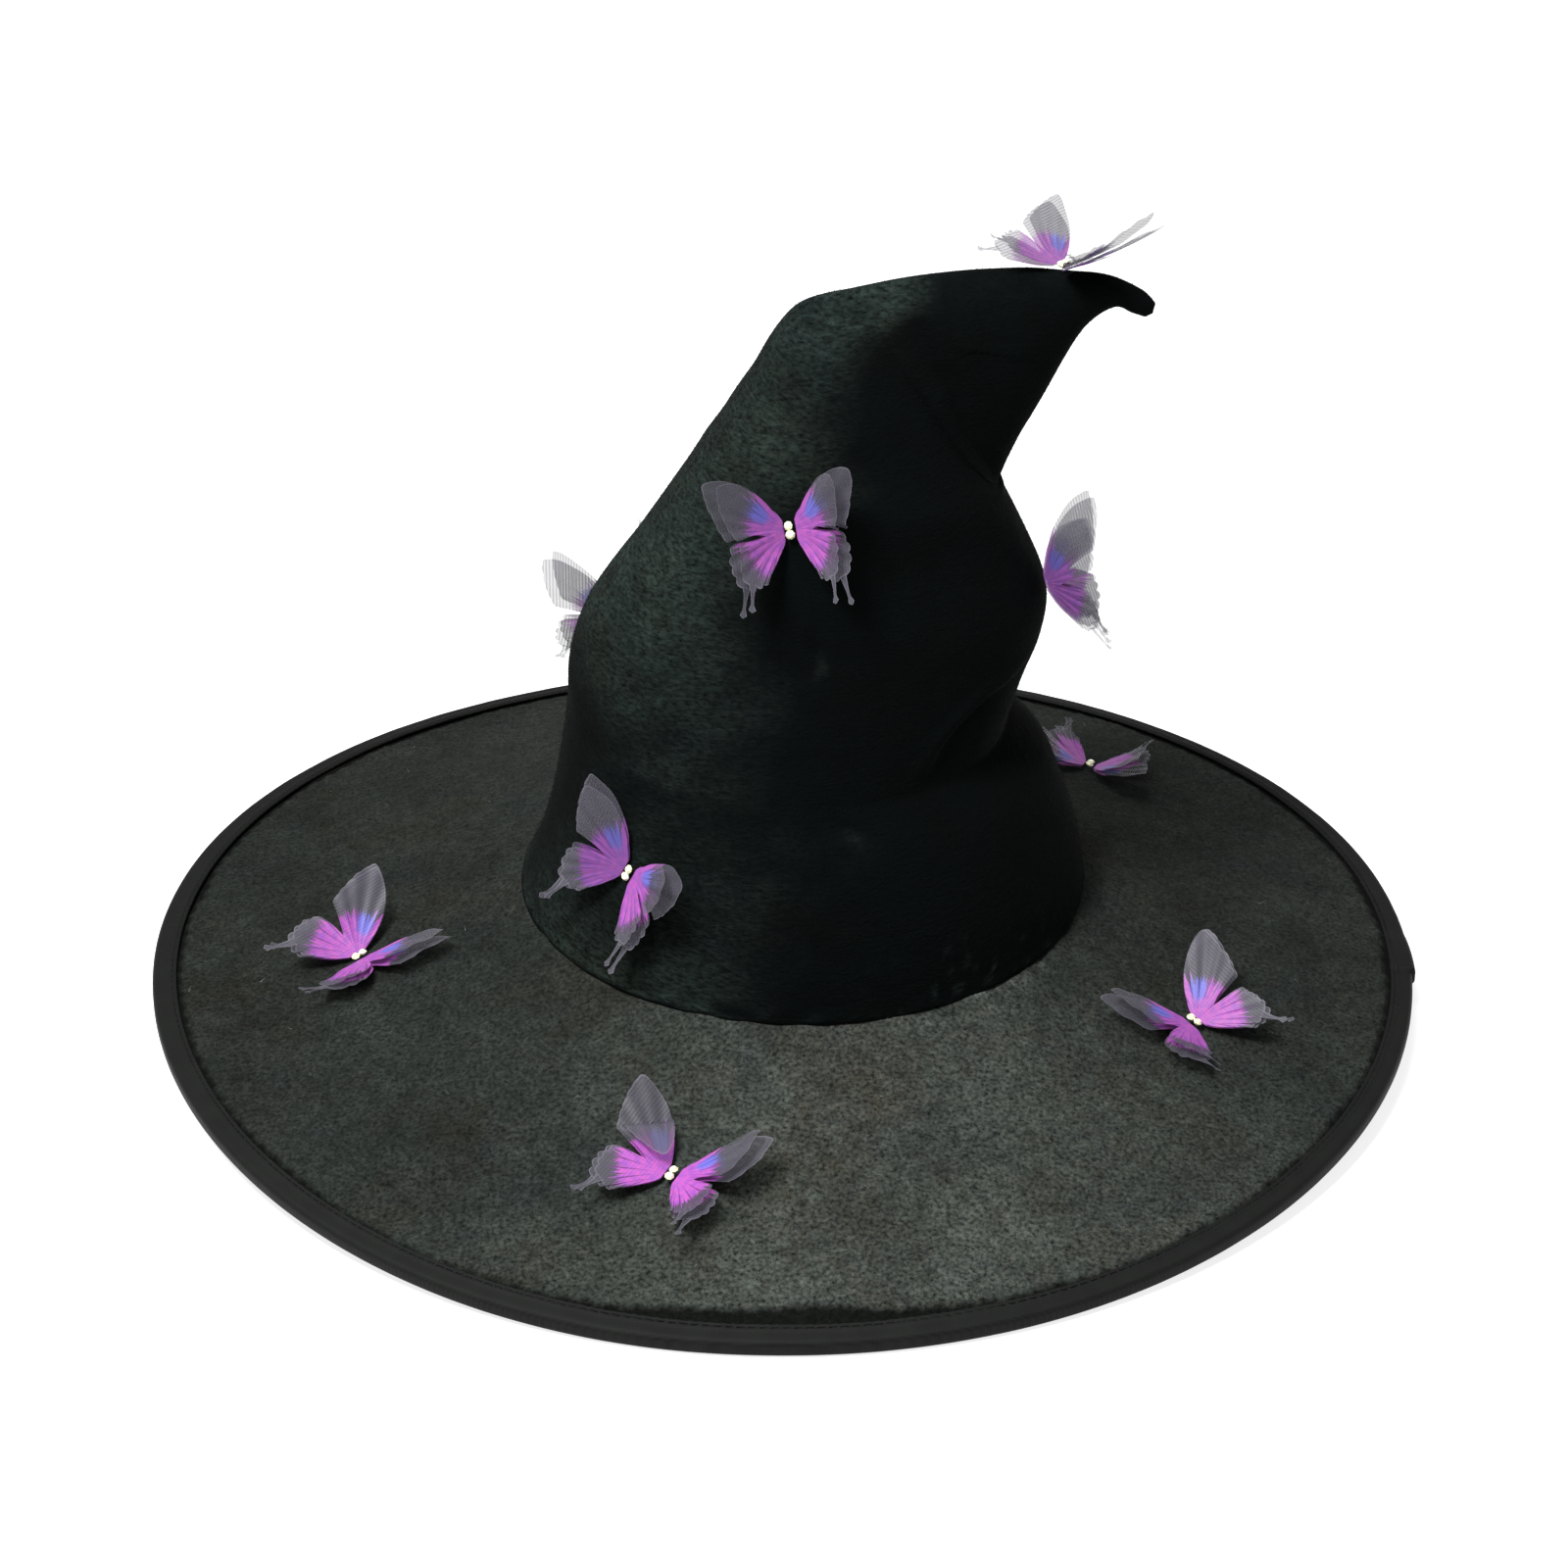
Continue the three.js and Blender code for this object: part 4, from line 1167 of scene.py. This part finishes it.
def build_wing(name, side, layer, material, chance):
    hinges, across, ahead, normal = wing_hinges(name)
    hinge, lift = hinges[side]
    out = across * (1 if side == "right" else -1)
    top = layer == "top"
    lift = lift + (math.radians(LAYER_SPREAD) if top else 0)
    under_curl, top_curl, more_lift, fore_turn, hind_turn, grown, deep, dyed = WINGS[f"{name}_{side}"]
    curl = top_curl if top else under_curl
    lift += math.radians(more_lift)
    span_way = out * math.cos(lift) + normal * math.sin(lift)
    up_way = normal * math.cos(lift) - out * math.sin(lift)
    size = grown * butterfly_sizes().span / MM / DRAWN_SPAN * (butterfly_sizes().top_layer if top else 1)
    hind_curl = chance.uniform(0.2, 0.75)
    front_curl = chance.uniform(0.0, 0.25)
    phase = chance.uniform(0, 6.3)
    wave = chance.uniform(0.25, 0.5)
    flat, share, faces = wing_mesh_points()
    points, places = [], []
    for spot in flat:
        x, y = spot.x, spot.y
        places.append((x / MAP_WIDTH, y / MAP_HEIGHT + 0.5))
        swing = smooth_step((math.hypot(x, y) - 3) / 6)
        swing *= math.radians(fore_turn if y > 0 else hind_turn) * smooth_step((abs(y) - 0.4) / 3)
        x, y = x * math.cos(swing) - y * math.sin(swing), x * math.sin(swing) + y * math.cos(swing)
        turn = math.atan2(y, max(x, 0.01))
        bend = curl * (1.0 if y > 0 else 0.6) / DRAWN_SPAN
        reach = math.hypot(x, y)
        span = math.sin(bend * x) / bend if bend > 1e-6 else x
        rise = (1 - math.cos(bend * x)) / bend if bend > 1e-6 else 0
        back = hind_curl if y < 0 else front_curl
        rise += back * (abs(y) / DRAWN_SPAN) ** 2 * 9
        rise += wave * math.sin(turn * 7 + phase) * (reach / 20) ** 1.5
        rise += 0.16 * math.sin(turn * 26) * (reach / 20)
        across_fold = FOLDED.get(f"{name}_{side}_{layer}")
        if across_fold:
            x, y, raised = fold_over(x, y, *across_fold)
            span, rise = x, rise * 0.3 + raised
        drop = LAYER_GAP if top else -LAYER_GAP
        points.append(
            hinge + span_way * span * size * MM + ahead * y * size * MM + up_way * (rise * size * MM + drop)
        )
    piece = new_piece(f"butterfly_{name}_{side}_{layer}", points, faces, material)
    if side == "left":
        piece.data.flip_normals()
    layer_map = piece.data.uv_layers.new(name="cut")
    for loop in piece.data.loops:
        layer_map.data[loop.index].uv = places[loop.vertex_index]
    add_attribute(piece, "rim", share)
    add_attribute(piece, "deep", [deep] * len(points))
    add_attribute(piece, "dyed", [dyed] * len(points))
    body = f"butterfly_{name}_{side}_wing"
    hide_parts(f"{body}_{layer}")
    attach(piece, body)
    return piece


def stone_rule(name, material):
    """A rule that sets faceted stones in a row: a girdle, a crown of facets and a flat table."""
    tree, given = start_rule(name, [
        ("Count", "NodeSocketInt", 3), ("Spacing", "NodeSocketFloat", 2 * MM),
        ("Radius", "NodeSocketFloat", 1.2 * MM), ("Height", "NodeSocketFloat", 1.3 * MM),
    ])
    row = output_of(tree, "GeometryNodeMeshLine", {
        "Count": given["Count"], "Offset": combined(tree, Y=given["Spacing"]),
    })
    half = maths(tree, "MULTIPLY", given["Height"], 0.5)
    table, foot = (maths(tree, "MULTIPLY", given["Radius"], share) for share in (0.55, 0.75))
    upper, lower = (output_of(tree, "GeometryNodeMeshCone", {
        "Vertices": 8, "Radius Top": top, "Radius Bottom": bottom, "Depth": half,
    }) for top, bottom in ((table, given["Radius"]), (given["Radius"], foot)))
    raised = output_of(tree, "GeometryNodeTransform", {
        "Geometry": upper, "Translation": combined(tree, Z=half),
    })
    both = add_node(tree, "GeometryNodeJoinGeometry")
    tree.links.new(lower, both.inputs[0])
    tree.links.new(raised, both.inputs[0])
    welded = output_of(tree, "GeometryNodeMergeByDistance", {
        "Geometry": both.outputs[0], "Distance": 0.01 * MM,
    })
    turn = output_of(tree, "FunctionNodeRandomValue", {
        0: (-0.18, -0.18, 0.0), 1: (0.18, 0.18, 0.8), "Seed": 4,
    }, data_type="FLOAT_VECTOR")
    stones = output_of(tree, "GeometryNodeInstanceOnPoints", {
        "Points": row, "Instance": welded, "Rotation": turn,
    })
    return finish_rule(tree, stones, material)


def build_body(name, material, tree):
    """The stones in a row over the butterfly's back."""
    hinges, across, ahead, normal = wing_hinges(name)
    b = butterfly_sizes()
    middle = (hinges["left"][0] + hinges["right"][0]) / 2
    spacing = 1.75 * b.stone_radius
    values = {"Count": b.stones, "Spacing": spacing, "Radius": b.stone_radius, "Height": 1.4 * MM}
    start = bpy.data.meshes.new("stone_start")
    stones = run_rule(f"butterfly_{name}_gems", start, tree, values, material)
    stones.data.transform(Matrix.Translation((0, -spacing * (b.stones - 1) / 2, 0.35 * MM)))
    turned = Matrix((across, ahead, normal)).transposed().to_4x4()
    stones.data.transform(Matrix.Translation(middle) @ turned)
    stones.data.polygons.foreach_set("use_smooth", [False] * len(stones.data.polygons))
    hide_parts(f"butterfly_{name}_stones")
    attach(stones, "crown_tip" if name == "tip" else "hat")


class WITCHHAT_OT_butterflies(bpy.types.Operator):
    """Build the nine butterflies, each of four layers of organza and a row of stones"""
    bl_idname = "witchhat.butterflies"
    bl_label = "Butterflies"

    def execute(self, context):
        organza = printed_organza("Printed organza")
        stone = foiled_stone("Foiled acrylic stone")
        tree = stone_rule("Row of stones", stone)
        chance = random.Random(29)
        for name in BUTTERFLIES:
            for side in ("left", "right"):
                for layer in ("under", "top"):
                    build_wing(name, side, layer, organza, chance)
            build_body(name, stone, tree)
        return {"FINISHED"}


# ---- the stage ----

CAMERA_PLACE = (0.0004, -1.1553, 0.7359)
CAMERA_AIM = (0.0004, 0.0, 0.07345)
LENS = 93.0
FLOOR_HALF = 6.0
FLOOR_LEVEL = -0.3 * MM
FLOOR_GRAIN = 0.025


def aim(thing, target):
    way = Vector(target) - thing.location
    thing.rotation_euler = way.to_track_quat("-Z", "Y").to_euler()


def add_softbox(name, place, target, size, power):
    light = bpy.data.lights.new(name, "AREA")
    light.shape = "SQUARE"
    light.size = size
    light.energy = power
    lamp = bpy.data.objects.new(name, light)
    lamp.location = place
    aim(lamp, target)
    bpy.context.scene.collection.objects.link(lamp)


class WITCHHAT_OT_stage(bpy.types.Operator):
    """Build the pale floor, the soft lights and the camera"""
    bl_idname = "witchhat.stage"
    bl_label = "Stage"

    def execute(self, context):
        scene = context.scene
        scene.view_settings.view_transform = "Standard"
        material, tree = start_material("Pale floor")
        grain = lumps(tree, object_place(tree), FLOOR_GRAIN)
        finish_material(material, mixed(tree, grain, linear("b6b6b6"), linear("bababa")), 0.9, {
            "Specular IOR Level": 0.1, "Emission Color": (1, 1, 1, 1), "Emission Strength": 0.8,
        })
        turns = ((-1, -1), (1, -1), (1, 1), (-1, 1))
        corners = [(x * FLOOR_HALF, y * FLOOR_HALF, FLOOR_LEVEL) for x, y in turns]
        new_piece("floor", corners, [(0, 1, 2, 3)], material, smooth=False)

        world = bpy.data.worlds.new("Soft studio")
        world.use_nodes = True
        background = world.node_tree.nodes["Background"].inputs
        background["Color"].default_value = (1, 1, 1, 1)
        background["Strength"].default_value = 0.3
        scene.world = world

        middle = (0, 0, 0.1)
        add_softbox("Key softbox", (-0.4, -0.5, 1.15), middle, 0.32, 27)
        add_softbox("Top softbox", (-0.2, 0.1, 1.5), middle, 0.6, 14)

        data = bpy.data.cameras.new("Camera")
        data.lens = LENS
        data.sensor_width = 36
        data.clip_start = 0.01
        camera = bpy.data.objects.new("Camera", data)
        camera.location = CAMERA_PLACE
        aim(camera, CAMERA_AIM)
        scene.collection.objects.link(camera)
        scene.camera = camera
        return {"FINISHED"}


class WITCHHAT_PT_panel(bpy.types.Panel):
    """The hat's sizes and colours, and a button for each group of pieces"""
    bl_idname = "WITCHHAT_PT_panel"
    bl_label = "Witch hat"
    bl_space_type = "VIEW_3D"
    bl_region_type = "UI"
    bl_category = "Witch hat"

    def draw(self, context):
        for group in (context.scene.hat_sizes, context.scene.hat_colours, context.scene.butterfly_sizes):
            box = self.layout.box()
            for name in group.__annotations__:
                box.prop(group, name)
        for operator in OPERATORS:
            self.layout.operator(operator.bl_idname)


OPERATORS = (
    WITCHHAT_OT_brim, WITCHHAT_OT_binding, WITCHHAT_OT_crown, WITCHHAT_OT_butterflies, WITCHHAT_OT_stage,
)
CLASSES = (HatSizes, HatColours, ButterflySizes) + OPERATORS + (WITCHHAT_PT_panel,)


def register():
    for item in CLASSES:
        bpy.utils.register_class(item)
    bpy.types.Scene.hat_sizes = PointerProperty(type=HatSizes)
    bpy.types.Scene.hat_colours = PointerProperty(type=HatColours)
    bpy.types.Scene.butterfly_sizes = PointerProperty(type=ButterflySizes)


def unregister():
    del bpy.types.Scene.butterfly_sizes
    del bpy.types.Scene.hat_colours
    del bpy.types.Scene.hat_sizes
    for item in reversed(CLASSES):
        bpy.utils.unregister_class(item)


def main():
    register()
    bpy.ops.witchhat.brim()
    bpy.ops.witchhat.binding()
    bpy.ops.witchhat.crown()
    bpy.ops.witchhat.butterflies()
    bpy.ops.witchhat.stage()


if __name__ == "__main__":
    main()
